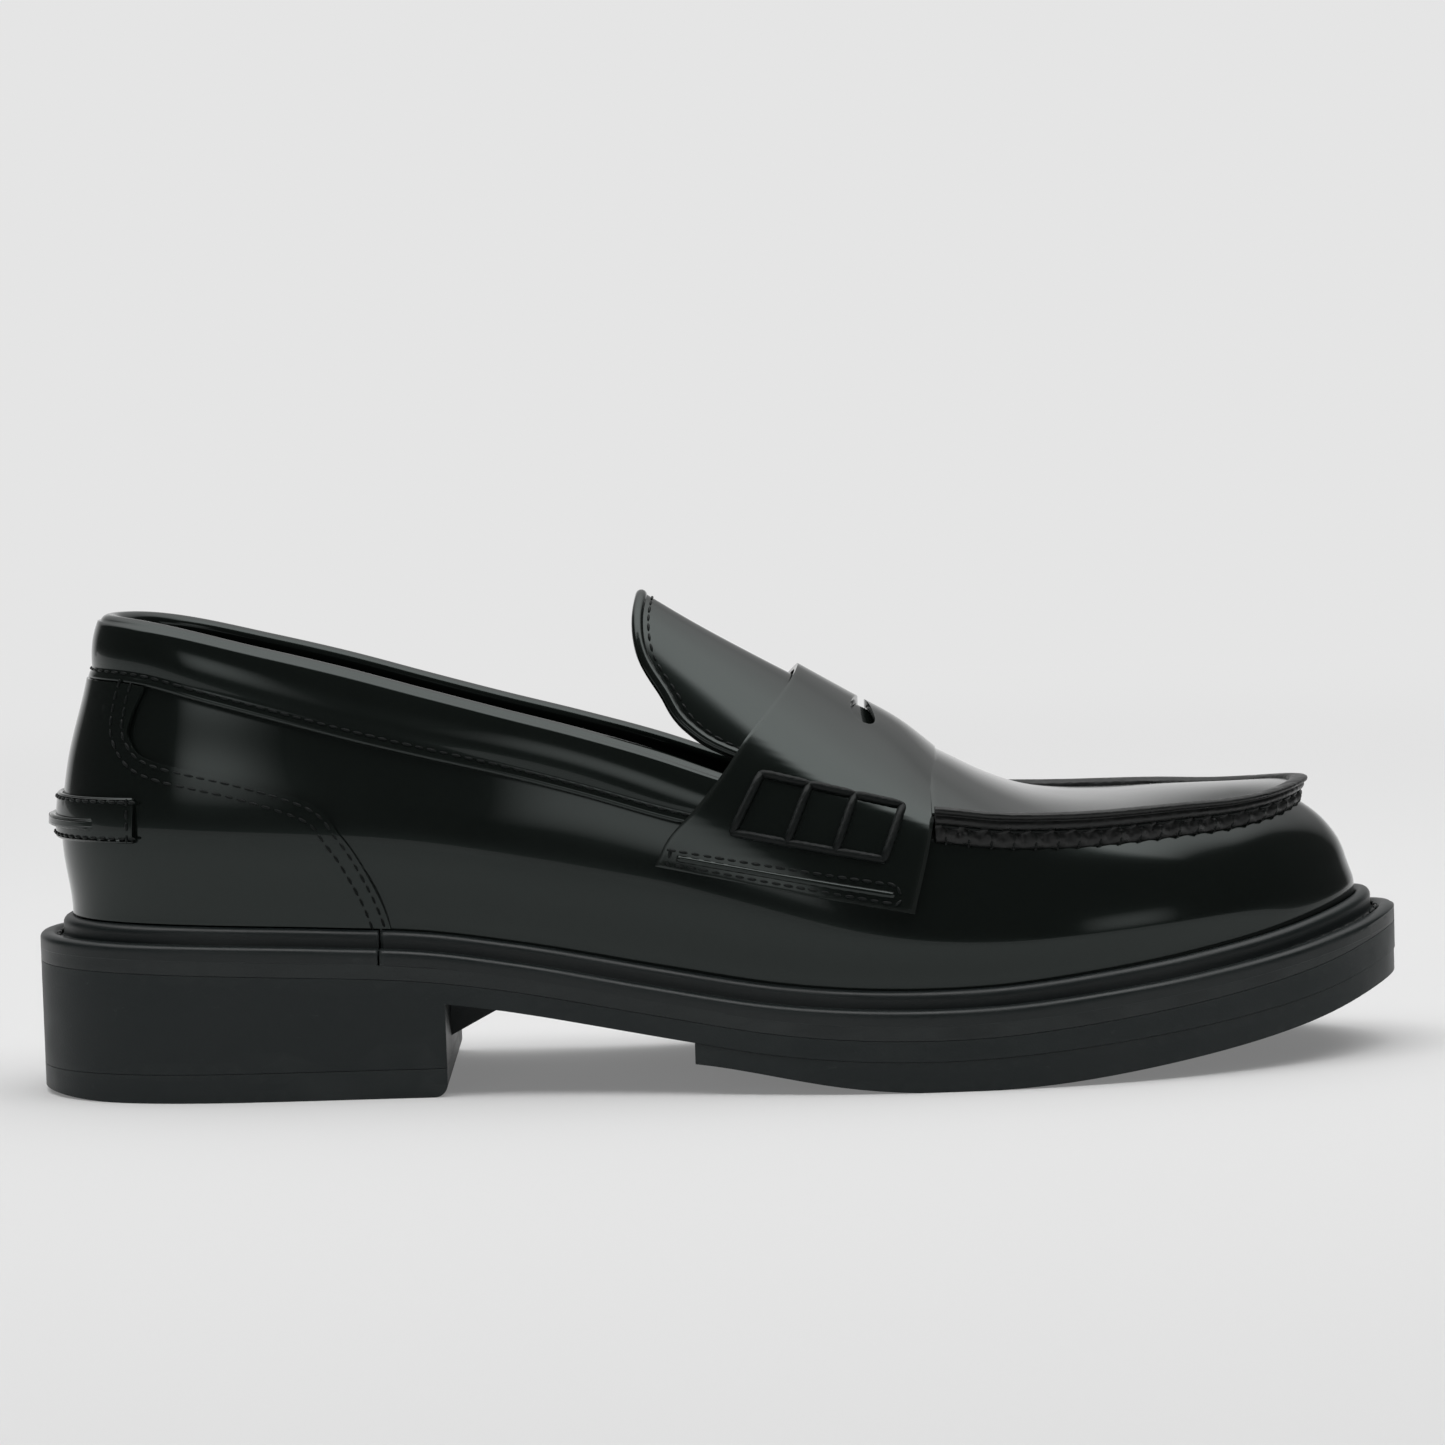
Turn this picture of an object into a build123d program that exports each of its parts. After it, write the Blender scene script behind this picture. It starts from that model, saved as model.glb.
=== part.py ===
from build123d import *

import math
import os

import numpy as np

# A right-foot penny loafer: moccasin upper, storm welt and rubber sole unit, in millimetres.
# +X points to the toe, +Y to the inner side of the foot, +Z up.
# The origin is the middle of the footprint, on the ground.

half_length = 143.2  # edge of the sole, heel to toe
half_width = 52.0  # edge of the sole at the ball of the foot
welt_margin = 8.4  # the sole edge stands this far outside the feather line
bead_width = 3.4  # raised lip of the storm welt, against the upper
bead_height = 3.4
groove_width = 1.9  # stitched channel outside the bead
groove_depth = 1.3
welt_thickness = 3.2
welt_reach = 2.0  # how far the welt runs in under the upper
rand_end_x = -70.0  # the heel rand takes over from the welt behind this

midsole_thickness = 3.0
outsole_thickness = 4.2
heel_breast_x = -57.0
buttress_end_x = -45.5
buttress_foot_z = 9.6
buttress_side_y = (-12.0, 30.0)
top_lift_thickness = 6.0
heel_roll_radius = 142.0
lift_corner_radius = 2.8
tread_start_x = -6.0
tread_groove_depth = 1.2
tread_groove_pitch = 9.0
tread_groove_width = 2.4
nail_radius = 1.2
nail_length = 12.0

shank_size = (105.0, 14.0, 1.6)
shank_middle_x = -18.0
insole_thickness = 2.3
foam_thickness = 2.0
sock_thickness = 1.0

leather = 1.2
gap = 0.1  # air between two layers of the sole
layer_gap = 0.3  # air between two curved layers of the upper
lining_depth = (-3.6, -2.7)  # layers measured outwards from the face of the vamp
footbed_inset = 1.0  # between the lining and the edge of the footbed layers
stiffener_depth = (-2.3, -1.6)
grip_depth = (-4.9, -4.1)
overlay_depth = (0.3, 1.4)
kicker_depth = (1.7, 2.7)
ridge_depth = (3.0, 4.2)
kicker_height = (53.6, 62.4)
kicker_front_x = -119.0
ridge_front_x = -127.0
counter_front_x = -62.0
stiffener_front_x = -82.0
grip_front_x = -98.0
puff_rear_x = 96.0
collar_front_x = 6.0  # the collar ends under the strap
lining_split_x = 25.0  # quarter lining meets vamp lining

strap_thickness = 1.5
tongue_thickness = 1.3
tongue_lining_thickness = 0.9
tongue_root_x = 19.0  # sewn end, hidden under the strap
tongue_binding_width = 2.2
apron_rear_x = 21.0  # hidden under the strap
apron_lining_thickness = 0.9
lip_rear_x = 47.0  # the raised seam starts at the strap
wall_sections = 52  # ribs round the whole upper
penny_slot = (4.6, 38.0)  # opening along X and along Y
penny_slot_x = 31.0

# Plan control points of the feather line, where upper meets sole: from the back of the
# heel along the outer side to the toe, then back along the inner side.
feather_polygon = [
    (-140, 1), (-135, -18), (-116, -28), (-90, -29), (-62, -29), (-34, -31), (-6, -38),
    (18, -45), (42, -47), (66, -45), (88, -38.5), (108, -28), (125, -15), (137, 3), (135, 21),
    (121, 35), (100, 43.5), (76, 47.5), (52, 46), (28, 40), (2, 30.5), (-24, 26), (-52, 28),
    (-80, 31.5), (-106, 31), (-130, 22),
]  # fmt: skip

# Side-view curves, as (x, z) points that a smooth curve passes through.
seat_line = [
    (-143, 27.6), (-107, 26.3), (-80, 25.1), (-60, 23.8), (-42, 21.2), (-12, 15.9), (12, 12.2),
    (36, 10.6), (56, 10.8), (77, 12.7), (98, 15.3), (119, 19.0), (134, 23.0), (143, 26.3),
]  # fmt: skip
tread_line = [
    (-10, 6.8), (8, 4.2), (20, 2.0), (33, 0.3), (42, 0), (56, 0), (66, 0.5), (78, 1.6),
    (90, 3.1), (103, 5.0), (116, 7.4), (126, 9.9), (135, 12.7), (143, 15.8),
]  # fmt: skip
top_line = [
    (-137, 100.6), (-120, 99.3), (-93, 93.0), (-77, 88.8), (-60, 83.8), (-44, 79.2), (-28, 74.8),
    (-11, 69.6), (1, 65.2), (15, 60.4), (30, 56.6), (45, 53.8), (58, 52.2), (70, 51.6), (95, 51.8),
    (108, 52.4), (120, 53.8), (135, 54.5),
]  # fmt: skip
moccasin_seam = [
    (-137, 87.0), (-118, 85.8), (-105, 82.2), (-89, 77.6), (-73, 73.0), (-60, 69.6), (-44, 65.6),
    (-28, 61.2), (-8, 55.4), (10, 51.8), (28, 50.8), (44, 50.4), (57, 48.7), (70, 48.1),
    (95, 48.7), (108, 49.3), (117, 50.6), (123, 52.0),
]  # fmt: skip
lip_height = [(20, 6.6), (100, 6.0), (124, 4.8)]
tongue_crest = [(-20, 104.6), (-15, 101.4), (-5, 95.0), (11, 85.7), (18, 81.8), (24, 78.5)]
strap_crest = [(-20, 107.5), (0, 95.8), (18, 84.8), (28, 78.8), (40, 71.5), (47, 65.6)]
apron_crest = [
    (18, 81.0), (30, 74.4), (41, 68.4), (49, 64.2), (57, 60.0), (65, 56.9), (74, 55.3),
    (83, 54.9), (96, 55.5), (126, 56.0),
]  # fmt: skip

# Free edges seen from the side, in order, joined smoothly.
counter_edge = [
    (-118.5, 88.0), (-121.0, 80.0), (-121.0, 74.5), (-117.0, 70.5), (-98.0, 65.6),
    (-85.4, 61.5), (-77.4, 53.9), (-73.0, 47.0), (-68.0, 34.0), (-67.0, 24.0),
]  # fmt: skip
tongue_edge = [
    (-14.6, 104.0), (-16.1, 97.1), (-15.0, 89.0), (-11.0, 82.1), (-6.3, 75.0), (0.0, 70.6),
    (9.0, 67.2), (21.0, 64.5),
]  # fmt: skip
strap_rear_edge = [
    (20.0, 88.0), (16.2, 82.4), (11.8, 77.6), (7.4, 72.8), (0.9, 64.2), (-4.4, 58.0), (-10.1, 52.0),
    (-13.0, 46.4),
]  # fmt: skip
strap_front_edge = [(39.5, 35.9), (43.0, 48.7), (45.0, 58.0), (46.2, 66.0), (46.4, 72.0)]

# How far each rib of the wall leans in at a quarter, half, three quarters and all of its
# height, from the back of the heel to the toe: negative leans out.
rib_shapes = [
    (-135, -1.6, 0.1, 4.4, 7.8),
    (-110, -2.2, -1.0, 2.6, 6.0),
    (-70, -2.2, -1.6, 1.2, 4.6),
    (-30, -1.6, -1.2, 0.8, 3.6),
    (10, -1.8, -1.4, 1.2, 5.4),
    (45, -1.4, 0.0, 3.2, 7.8),
    (80, -0.8, 0.8, 3.6, 8.4),
    (110, 0.2, 2.0, 5.4, 11.4),
    (135, 1.3, 3.4, 8.0, 16.2),
]


def smooth(points, x):
    """Value at x of the smooth curve through the points."""
    xs = [p[0] for p in points]
    slopes = np.gradient([p[1] for p in points], xs)
    x = min(max(x, xs[0]), xs[-1])
    i = min(max(int(np.searchsorted(xs, x)) - 1, 0), len(xs) - 2)
    width = xs[i + 1] - xs[i]
    t = (x - xs[i]) / width
    start = (1 + 2 * t) * (1 - t) ** 2 * points[i][1] + t * (1 - t) ** 2 * width * slopes[i]
    end = (3 - 2 * t) * t**2 * points[i + 1][1] - t**2 * (1 - t) * width * slopes[i + 1]
    return float(start + end)


def spline_point(polygon, u):
    """Point at u, 0 to 1, of the closed cubic B-spline that the polygon controls."""
    place = (u % 1.0) * len(polygon)
    i = int(place)
    t = place - i
    weights = ((1 - t) ** 3, 3 * t**3 - 6 * t**2 + 4, 1 + 3 * (t + t**2 - t**3), t**3)
    corners = [np.array(polygon[(i + k - 1) % len(polygon)], float) for k in range(4)]
    return sum(w * c for w, c in zip(weights, corners)) / 6


def outline_fit():
    """Scale and centre that make the feather line fill the sole edge less the margin."""
    points = np.array([spline_point(feather_polygon, k / 720) for k in range(720)])
    low, high = points.min(0), points.max(0)
    target = np.array([half_length - welt_margin, half_width - welt_margin])
    return 2 * target / (high - low), (low + high) / 2


outline_scale, outline_centre = outline_fit()


def feather(u):
    """Point of the feather line at u, and the outward direction there, in plan."""
    here, ahead = (
        (spline_point(feather_polygon, v) - outline_centre) * outline_scale for v in (u, u + 1e-4)
    )
    along = (ahead - here) / np.linalg.norm(ahead - here)
    return here, np.array([along[1], -along[0]])


def u_at(x, side):
    """Where x lies on the feather line: side -1 is the outer side, +1 the inner side."""
    places = 0.5 + side * np.linspace(0.48, 0, 241)
    xs = np.array([feather(u)[0][0] for u in places])
    last = int(xs.argmax()) + 1
    return float(np.interp(x, xs[:last], places[:last]))


def round_heel(x):
    """Range of u that runs from x on the inner side, round the heel, to x on the outer."""
    return u_at(x, 1) - 1, u_at(x, -1)


def round_toe(x):
    """Range of u that runs from x on the outer side, round the toe, to x on the inner."""
    return u_at(x, -1), u_at(x, 1)


def above_seat(height):
    return lambda x: smooth(seat_line, x) + height


flange_top = midsole_thickness + welt_thickness  # heights over the seat line
bead_top = flange_top + bead_height
rib_cache = {}


def rib(u):
    """Lean and height of the wall over feather point u, as two arrays."""
    if u not in rib_cache:
        x = float(feather(u)[0][0])
        base = smooth(seat_line, x) + bead_top
        rise = smooth(top_line, x) - base
        leans = [smooth([(row[0], row[k]) for row in rib_shapes], x) for k in range(1, 5)]
        knots = [(base - 8, 0.0), (base, 0.0), (base + 1, 0.0)]
        knots += [(base + rise * share / 4, lean) for share, lean in zip((1, 2, 3, 4), leans)]
        knots += [(base + rise * 1.2, 2 * leans[3] - leans[2])]
        heights = np.linspace(base - 8, base + rise * 1.2, 90)
        rib_cache[u] = np.array([smooth(knots, z) for z in heights]), heights
    return rib_cache[u]


def wall_point(u, z, out):
    """Point at height z of the wall over feather point u, moved out along its normal."""
    here, normal = feather(u)
    leans, heights = rib(u)
    lean = float(np.interp(z, heights, leans))
    slope = float(np.interp(z, heights, np.gradient(leans, heights)))
    size = math.hypot(1.0, slope)
    plan = here + normal * (out / size - lean)
    return float(plan[0]), float(plan[1]), float(z + out * slope / size)


def height_on_wall(u, curve):
    """Height where the side-view curve crosses the wall over feather point u."""
    z = smooth(curve, float(feather(u)[0][0]))
    for _ in range(4):
        z = smooth(curve, wall_point(u, z, 0)[0])
    return z


def wall_at(x, z, out, side):
    """Point of the wall at a given x and height, on one side of the shoe."""
    places = np.linspace(u_at(x - 12, side), u_at(min(x + 16, 134), side), 9)
    xs = [wall_point(u, z, out)[0] for u in places]
    return wall_point(float(np.interp(x, xs, places)), z, out)


def outline(out, count=72):
    """Plan face whose edge runs this far outside the feather line."""
    points = []
    for k in range(count):
        here, normal = feather(k / count)
        points.append(tuple(here + normal * out))
    return make_face(Spline(*points, periodic=True))


def column(out):
    return extrude(outline(out), amount=130)


def side_face(low, high, x0, x1, steps=22):
    xs = np.linspace(x0, x1, steps)
    bottom = Spline(*[(x, low(x)) for x in xs])
    top = Spline(*[(x, high(x)) for x in xs])
    return make_face([bottom, Line(bottom @ 1, top @ 1), top, Line(top @ 0, bottom @ 0)])


def across(face, y0=-70.0, y1=70.0):
    """Solid from y0 to y1 with the face as its side view."""
    return Pos(0, y1, 0) * extrude(Plane.XZ * face, amount=y1 - y0)


def slab(low, high, x0=-160.0, x1=160.0):
    """Layer between two heights over the seat line."""
    return across(side_face(above_seat(low), above_seat(high), x0, x1))


def region(curve_points, *corners):
    """Solid across the shoe: a smooth side-view edge closed through the corners."""
    edge = Spline(*curve_points)
    rest = Polyline(edge @ 1, *corners, edge @ 0)
    return across(make_face([edge, rest]))


def side_block(x0, x1):
    return across(make_face(Polyline((x0, -5), (x1, -5), (x1, 130), (x0, 130), close=True)))


def ring(low, high, inner, outer):
    """Band round the whole sole between two plan offsets and two heights."""
    return slab(low, high) & (column(outer) - column(inner))


def section(u, low, high, inner, outer, count=7):
    heights = np.linspace(low, high, count)
    front = Spline(*[wall_point(u, z, outer) for z in heights])
    back = Spline(*[wall_point(u, z, inner) for z in heights])
    return Wire([front, Line(front @ 1, back @ 1), back, Line(back @ 0, front @ 0)])


def rib_places(span):
    """Ends of the range and the whole upper's ribs between them, so that layers stay parallel."""
    first, last = span
    spare = 0.3 / wall_sections
    ribs = [k / wall_sections for k in range(-wall_sections, wall_sections + 1)]
    return [first] + [u for u in ribs if first + spare < u < last - spare] + [last]


def wall_band(span, low, high, depth):
    """Layer of the wall over a range of u, between the heights low(u) and high(u)."""
    return Solid.make_loft([section(u, low(u), high(u), *depth) for u in rib_places(span)])


def at_seat(height):
    return lambda u: smooth(seat_line, float(feather(u)[0][0])) + height


def at_curve(curve, rise=0.0):
    return lambda u: height_on_wall(u, curve) + rise


def arch_points(x, foot, out, crest):
    """Arch across the shoe at x: up one wall, over the crest height and down the other."""
    shoulder = min(smooth(top_line, x) - 3.0, crest - 10.0)
    halves = []
    for side in (-1, 1):
        wall = [np.array(wall_at(x, z, out, side)[1:]) for z in np.linspace(foot, shoulder, 4)]
        halves.append(wall)
    middle = (halves[0][-1][0] + halves[1][-1][0]) / 2
    top = np.array([middle, crest])
    points = []
    for wall, side in zip(halves, (-1, 1)):
        start = wall[-1]
        climb = (start - wall[-2]) / np.linalg.norm(start - wall[-2])
        rise = crest - start[1]
        steep = start + climb * rise * 0.55
        level = top + np.array([side * 0.5 * abs(start[0] - middle), 0.0])
        bend = []
        for t in (0.25, 0.5, 0.75):
            weights = ((1 - t) ** 3, 3 * (1 - t) ** 2 * t, 3 * (1 - t) * t**2, t**3)
            bend.append(sum(w * p for w, p in zip(weights, (start, steep, level, top))))
        points.append([(x, float(p[0]), float(p[1])) for p in wall + bend])
    return points[0] + [(x, float(middle), float(crest))] + points[1][::-1]


def arch_shell(xs, foot, out, crest_curve, thickness, lift=0.0):
    """Saddle-shaped layer through arches at each x; out is its outer face on the walls."""
    sections = []
    for x in xs:
        crest = smooth(crest_curve, x) + lift
        front = Spline(*arch_points(x, foot(x), out, crest))
        back = Spline(*arch_points(x, foot(x), out - thickness, crest - thickness * 1.15))
        closing = [Line(front @ 1, back @ 1), back, Line(back @ 0, front @ 0)]
        sections.append(Wire([front] + closing))
    return Solid.make_loft(sections)


def sole_bottom(x):
    thickness = outsole_thickness + 1.6 * max(0.0, (x - 60.0) / 83.0)
    return smooth(seat_line, x) - thickness


def nail_places():
    """Two rows of nails, set in from the edge of the heel."""
    places = [feather(u)[0] - 9.0 * feather(u)[1] for u in (-0.13, -0.08, -0.03, 0.03, 0.08, 0.13)]
    return [tuple(place) for place in places]


def nails(radius):
    """The nails start above the ground and run up through the lift into the heel."""
    start = 0.8
    return [Pos(x, y, start) * extrude(Circle(radius), amount=nail_length) for x, y in nail_places()]


def make_outsole():
    sheet = across(side_face(sole_bottom, above_seat(0), -160, 160)) & column(welt_margin)
    heel_face = side_face(lambda x: top_lift_thickness, above_seat(-0.5), -160, heel_breast_x)
    heel = across(heel_face) & column(welt_margin)
    buttress = make_face(
        Polyline(
            (heel_breast_x - 3, buttress_foot_z),
            (heel_breast_x, buttress_foot_z),
            (buttress_end_x, 15.6),
            (buttress_end_x, 19.0),
            (heel_breast_x - 3, 22.0),
            close=True,
        )
    )
    solid = sheet + heel + across(buttress, *buttress_side_y)
    return solid - nails(nail_radius + gap)


def make_top_lift():
    """Flat underneath, with a rounded front corner and the back edge rolled up by wear."""
    flat_end, back = -124.0, -160.0

    def rolled(x):
        return heel_roll_radius - math.sqrt(heel_roll_radius**2 - (x - flat_end) ** 2)

    top = top_lift_thickness - gap
    middle = (flat_end + back) / 2
    roll = ThreePointArc((back, rolled(back)), (middle, rolled(middle)), (flat_end, 0))
    radius = lift_corner_radius
    ground = Line((flat_end, 0), (heel_breast_x - radius, 0))
    corner = TangentArc(ground @ 1, (heel_breast_x, radius), tangent=(1, 0))
    rest = Polyline(corner @ 1, (heel_breast_x, top), (back, top), roll @ 0)
    face = make_face([roll, ground, corner, rest])
    return (across(face) & column(welt_margin)) - nails(nail_radius + gap)


def make_tread():
    def top(x):
        return sole_bottom(x) - gap

    def bottom(x):
        return smooth(tread_line, x)

    tread = across(side_face(bottom, top, -160, 160)) & column(welt_margin - 0.2)
    tread &= side_block(tread_start_x, 160)
    grooved = across(
        side_face(lambda x: bottom(x) - 2, lambda x: bottom(x) + tread_groove_depth, 14, 120)
    ) & column(-4.0)
    bars = [
        Pos(x, 0, 0) * Box(tread_groove_width, 120, 60)
        for x in np.arange(20.0, 116.0, tread_groove_pitch)
    ]
    for bar in bars:
        tread -= grooved & bar
    return tread


def make_midsole():
    return slab(gap, midsole_thickness) & column(welt_margin)


def make_welt_ring():
    flange = ring(midsole_thickness + gap, flange_top, -welt_reach, welt_margin)
    bead = ring(flange_top - 0.5, bead_top, layer_gap, bead_width)
    groove = ring(
        flange_top - groove_depth, flange_top + 1, bead_width, bead_width + groove_width
    )
    return flange + bead - groove


def make_welt_thread():
    """Lock-stitch thread lying in the channel."""
    middle = bead_width + groove_width / 2
    floor = flange_top - groove_depth
    return ring(floor + gap, floor + 0.75, middle - 0.45, middle + 0.45)


def shank_block(clearance):
    length, width, thickness = shank_size
    low = midsole_thickness + 0.7
    x0, x1 = shank_middle_x - length / 2, shank_middle_x + length / 2
    strip = slab(low - clearance, low + thickness + clearance, x0 - clearance, x1 + clearance)
    return strip & Pos(0, 1, 0) * Box(400, width + 2 * clearance, 200)


def make_cork():
    filler = slab(midsole_thickness + gap, flange_top - gap) & column(-welt_reach - gap)
    return filler - shank_block(gap)


insole_low = flange_top + gap
foam_low = insole_low + insole_thickness + gap
sock_low = foam_low + foam_thickness + gap
sock_top = sock_low + sock_thickness
inside = lining_depth[0] - footbed_inset


wall_foot = at_seat(flange_top + layer_gap)
over_bead = at_seat(bead_top + layer_gap)


def behind_edge():
    """Everything behind the edge of the heel counter, seen from the side."""
    return region(counter_edge, (-160, 24.0), (-160, 88.0))


def make_counter():
    top = at_curve(moccasin_seam, -layer_gap)
    return wall_band(round_heel(counter_front_x), over_bead, top, overlay_depth) & behind_edge()


def make_apron(depth, thickness):
    """Layer of the apron this far under its face, trimmed to the raised seam."""
    sections = []
    for x in np.linspace(lip_rear_x - 6, 130, 13):
        seam_x = min(x, 108.0)
        z = smooth(moccasin_seam, seam_x)
        ends = [wall_at(seam_x, z, -leather, side) for side in (-1, 1)]
        middle, half = (ends[0][1] + ends[1][1]) / 2, (ends[1][1] - ends[0][1]) / 2
        rim = smooth(moccasin_seam, x) + smooth(lip_height, x) - 1.2
        rise = smooth(apron_crest, x) - rim
        lines = []
        for drop in (depth + thickness, depth):
            points = []
            for share in np.linspace(-1.25, 1.25, 13):
                arch = 1 - abs(share) ** 2.2
                points.append((x, middle + half * share, rim + rise * arch - drop))
            lines.append(Spline(*points))
        bottom, top = lines
        closing = [Line(top @ 1, bottom @ 1), bottom, Line(bottom @ 0, top @ 0)]
        sections.append(Wire([top] + closing))
    sheet = Solid.make_loft(sections) & apron_column()
    hidden = arch_shell(
        np.linspace(apron_rear_x - 2, lip_rear_x + 2, 6),
        lambda x: smooth(moccasin_seam, x) + 2.0,
        -layer_gap - depth - thickness,
        strap_crest,
        thickness,
        -strap_thickness - 0.4 - depth,
    )
    return (sheet & side_block(lip_rear_x, 140)) + (hidden & side_block(apron_rear_x, lip_rear_x))


def apron_column():
    """Column inside the inner face of the raised seam."""
    points = []
    for u in rib_places(round_toe(lip_rear_x - 6)):
        x, y, _ = wall_point(u, height_on_wall(u, moccasin_seam) + layer_gap, -leather)
        points.append((x, y) - feather(u)[1] * layer_gap)
    edge = Spline(*[tuple(p) for p in points])
    return extrude(make_face([edge, Line(edge @ 1, edge @ 0)]), amount=130)


def lip_section(u):
    """Raised seam: it stands on the wall's top edge and leans out over it."""
    z = height_on_wall(u, moccasin_seam)
    here, normal = feather(u)
    inner = np.array(wall_point(u, z + layer_gap, -leather))
    outer = np.array(wall_point(u, z + layer_gap, 1.3))
    height = smooth(lip_height, inner[0])
    out = np.array([normal[0], normal[1], 0.0])
    upper_outer = outer + out * 0.9 + np.array([0, 0, height])
    upper_outer[2] = z + height
    upper_inner = inner.copy()
    upper_inner[2] = z + height
    corners = [tuple(p) for p in (inner, outer, upper_outer, upper_inner)]
    return Wire(Polyline(*corners, close=True).edges())


def make_lip():
    return Solid.make_loft([lip_section(u) for u in rib_places(round_toe(lip_rear_x))])


def ahead_of_tongue_edge(inset):
    """Everything ahead of the tongue's free edge, or of a line inside it."""
    edge = [(x + inset, z + (0.25 * inset if z < 80 else 0)) for x, z in tongue_edge]
    return region(edge, (24.0, 64.5), (24.0, 108.0), (edge[0][0], 108.0))


def tongue_shell(thickness, depth):
    """Layer of the tongue this far under its face."""
    xs = np.linspace(-20, 24, 8)
    return arch_shell(
        xs, lambda x: smooth(top_line, x) - 12, -3.9 - depth, tongue_crest, thickness, -depth * 1.15
    )


def make_tongue():
    body = side_block(-30, tongue_root_x)
    return tongue_shell(tongue_thickness, 0) & ahead_of_tongue_edge(tongue_binding_width) & body


def make_tongue_lining():
    shell = tongue_shell(tongue_lining_thickness, tongue_thickness + gap)
    return shell & ahead_of_tongue_edge(tongue_binding_width) & side_block(-30, tongue_root_x)


def make_tongue_binding():
    thickness = tongue_thickness + gap + tongue_lining_thickness + 0.4
    shell = tongue_shell(thickness, -0.2) & side_block(-30, tongue_root_x)
    return shell & ahead_of_tongue_edge(0) - ahead_of_tongue_edge(tongue_binding_width - gap)


def strap_region():
    rear = Spline(*strap_rear_edge)
    bottom = Line(rear @ 1, strap_front_edge[0])
    front = Spline(*strap_front_edge)
    top = Polyline(front @ 1, (46.4, 95.0), (20.0, 95.0), rear @ 0)
    return across(make_face([rear, bottom, front, top]))


def make_strap():
    xs = np.linspace(-18, 50, 12)
    face = layer_gap + strap_thickness
    shell = arch_shell(xs, lambda x: 33.0, face, strap_crest, strap_thickness)
    width, length = penny_slot
    slot_arc = ThreePointArc((0, -length / 2), (width / 2, 0), (0, length / 2))
    slot = make_face([slot_arc, mirror(slot_arc, about=Plane.YZ)])
    slot = Pos(penny_slot_x, 1, 60) * extrude(slot, amount=40)
    return (shell & strap_region()) - slot


def write(name, shape):
    shape.label = name
    export_step(shape, f"parts/{name}.step")
    print(name, len(shape.solids()), "solids", round(shape.volume), "mm3")


def main():
    os.makedirs("parts", exist_ok=True)
    write("outsole", make_outsole())
    write("top_lift", make_top_lift())
    write("heel_nails", Compound(children=nails(nail_radius)))
    write("forefoot_tread", make_tread())
    write("midsole", make_midsole())

    welt = make_welt_ring()
    behind = side_block(-160, rand_end_x)
    write("storm_welt", welt - behind)
    write("heel_rand", welt & side_block(-160, rand_end_x - gap))
    write("welt_thread", make_welt_thread())
    write("cork_filler", make_cork())
    write("shank", shank_block(0))
    write("insole_board", slab(insole_low, insole_low + insole_thickness) & column(inside))
    write("foam_cushion", slab(foam_low, foam_low + foam_thickness) & column(inside))
    write("sock_liner", slab(sock_low, sock_top) & column(inside))

    whole = (0.004, 0.996)
    seam = at_curve(moccasin_seam)
    write("vamp", wall_band(whole, wall_foot, seam, (-leather, 0)))
    puff_top = at_curve(moccasin_seam, -1)
    puff = wall_band(round_toe(puff_rear_x - 30), wall_foot, puff_top, stiffener_depth)
    write("toe_puff", puff & side_block(puff_rear_x, 160))
    write("vamp_lining", wall_band(round_toe(lining_split_x), wall_foot, puff_top, lining_depth))
    write("apron", make_apron(0, leather))
    write("apron_lining", make_apron(leather + layer_gap, apron_lining_thickness))
    write("apron_lip", make_lip())

    rim = at_curve(top_line, -1.6)
    to_collar = round_heel(collar_front_x)
    above_seam = at_curve(moccasin_seam, layer_gap)
    write("collar_band", wall_band(to_collar, above_seam, rim, (-leather, 0)))
    write("collar_padding", wall_band(to_collar, above_seam, rim, stiffener_depth))
    edge = at_curve(top_line, -1.25)
    over_all = (lining_depth[0], 0.1)
    write("topline_binding", wall_band(to_collar, edge, at_curve(top_line), over_all))
    to_split = round_heel(lining_split_x - 1.4)
    write("quarter_lining", wall_band(to_split, wall_foot, rim, lining_depth))
    stiff_top = at_curve(moccasin_seam, -layer_gap)
    to_waist = round_heel(stiffener_front_x + 30)
    stiffener = wall_band(to_waist, wall_foot, stiff_top, stiffener_depth)
    write("heel_stiffener", stiffener & side_block(-160, stiffener_front_x))
    over_sock = at_seat(sock_top + layer_gap)
    grip = wall_band(to_waist, over_sock, at_curve(top_line, -4), grip_depth)
    write("heel_grip", grip & side_block(-160, grip_front_x))
    write("heel_counter", make_counter())
    kicker_low, kicker_high = kicker_height
    to_kicker = round_heel(kicker_front_x)
    strip = wall_band(to_kicker, lambda u: kicker_low, lambda u: kicker_high, kicker_depth)
    write("kicker_strap", strip)
    to_ridge = round_heel(ridge_front_x)
    write("kicker_ridge", wall_band(to_ridge, lambda u: 56.0, lambda u: 58.2, ridge_depth))

    write("tongue", make_tongue())
    write("tongue_lining", make_tongue_lining())
    write("tongue_binding", make_tongue_binding())
    write("saddle_strap", make_strap())


if __name__ == "__main__":
    main()
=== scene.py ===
import math

import bpy
import numpy as np
from mathutils import Matrix, Vector


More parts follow.
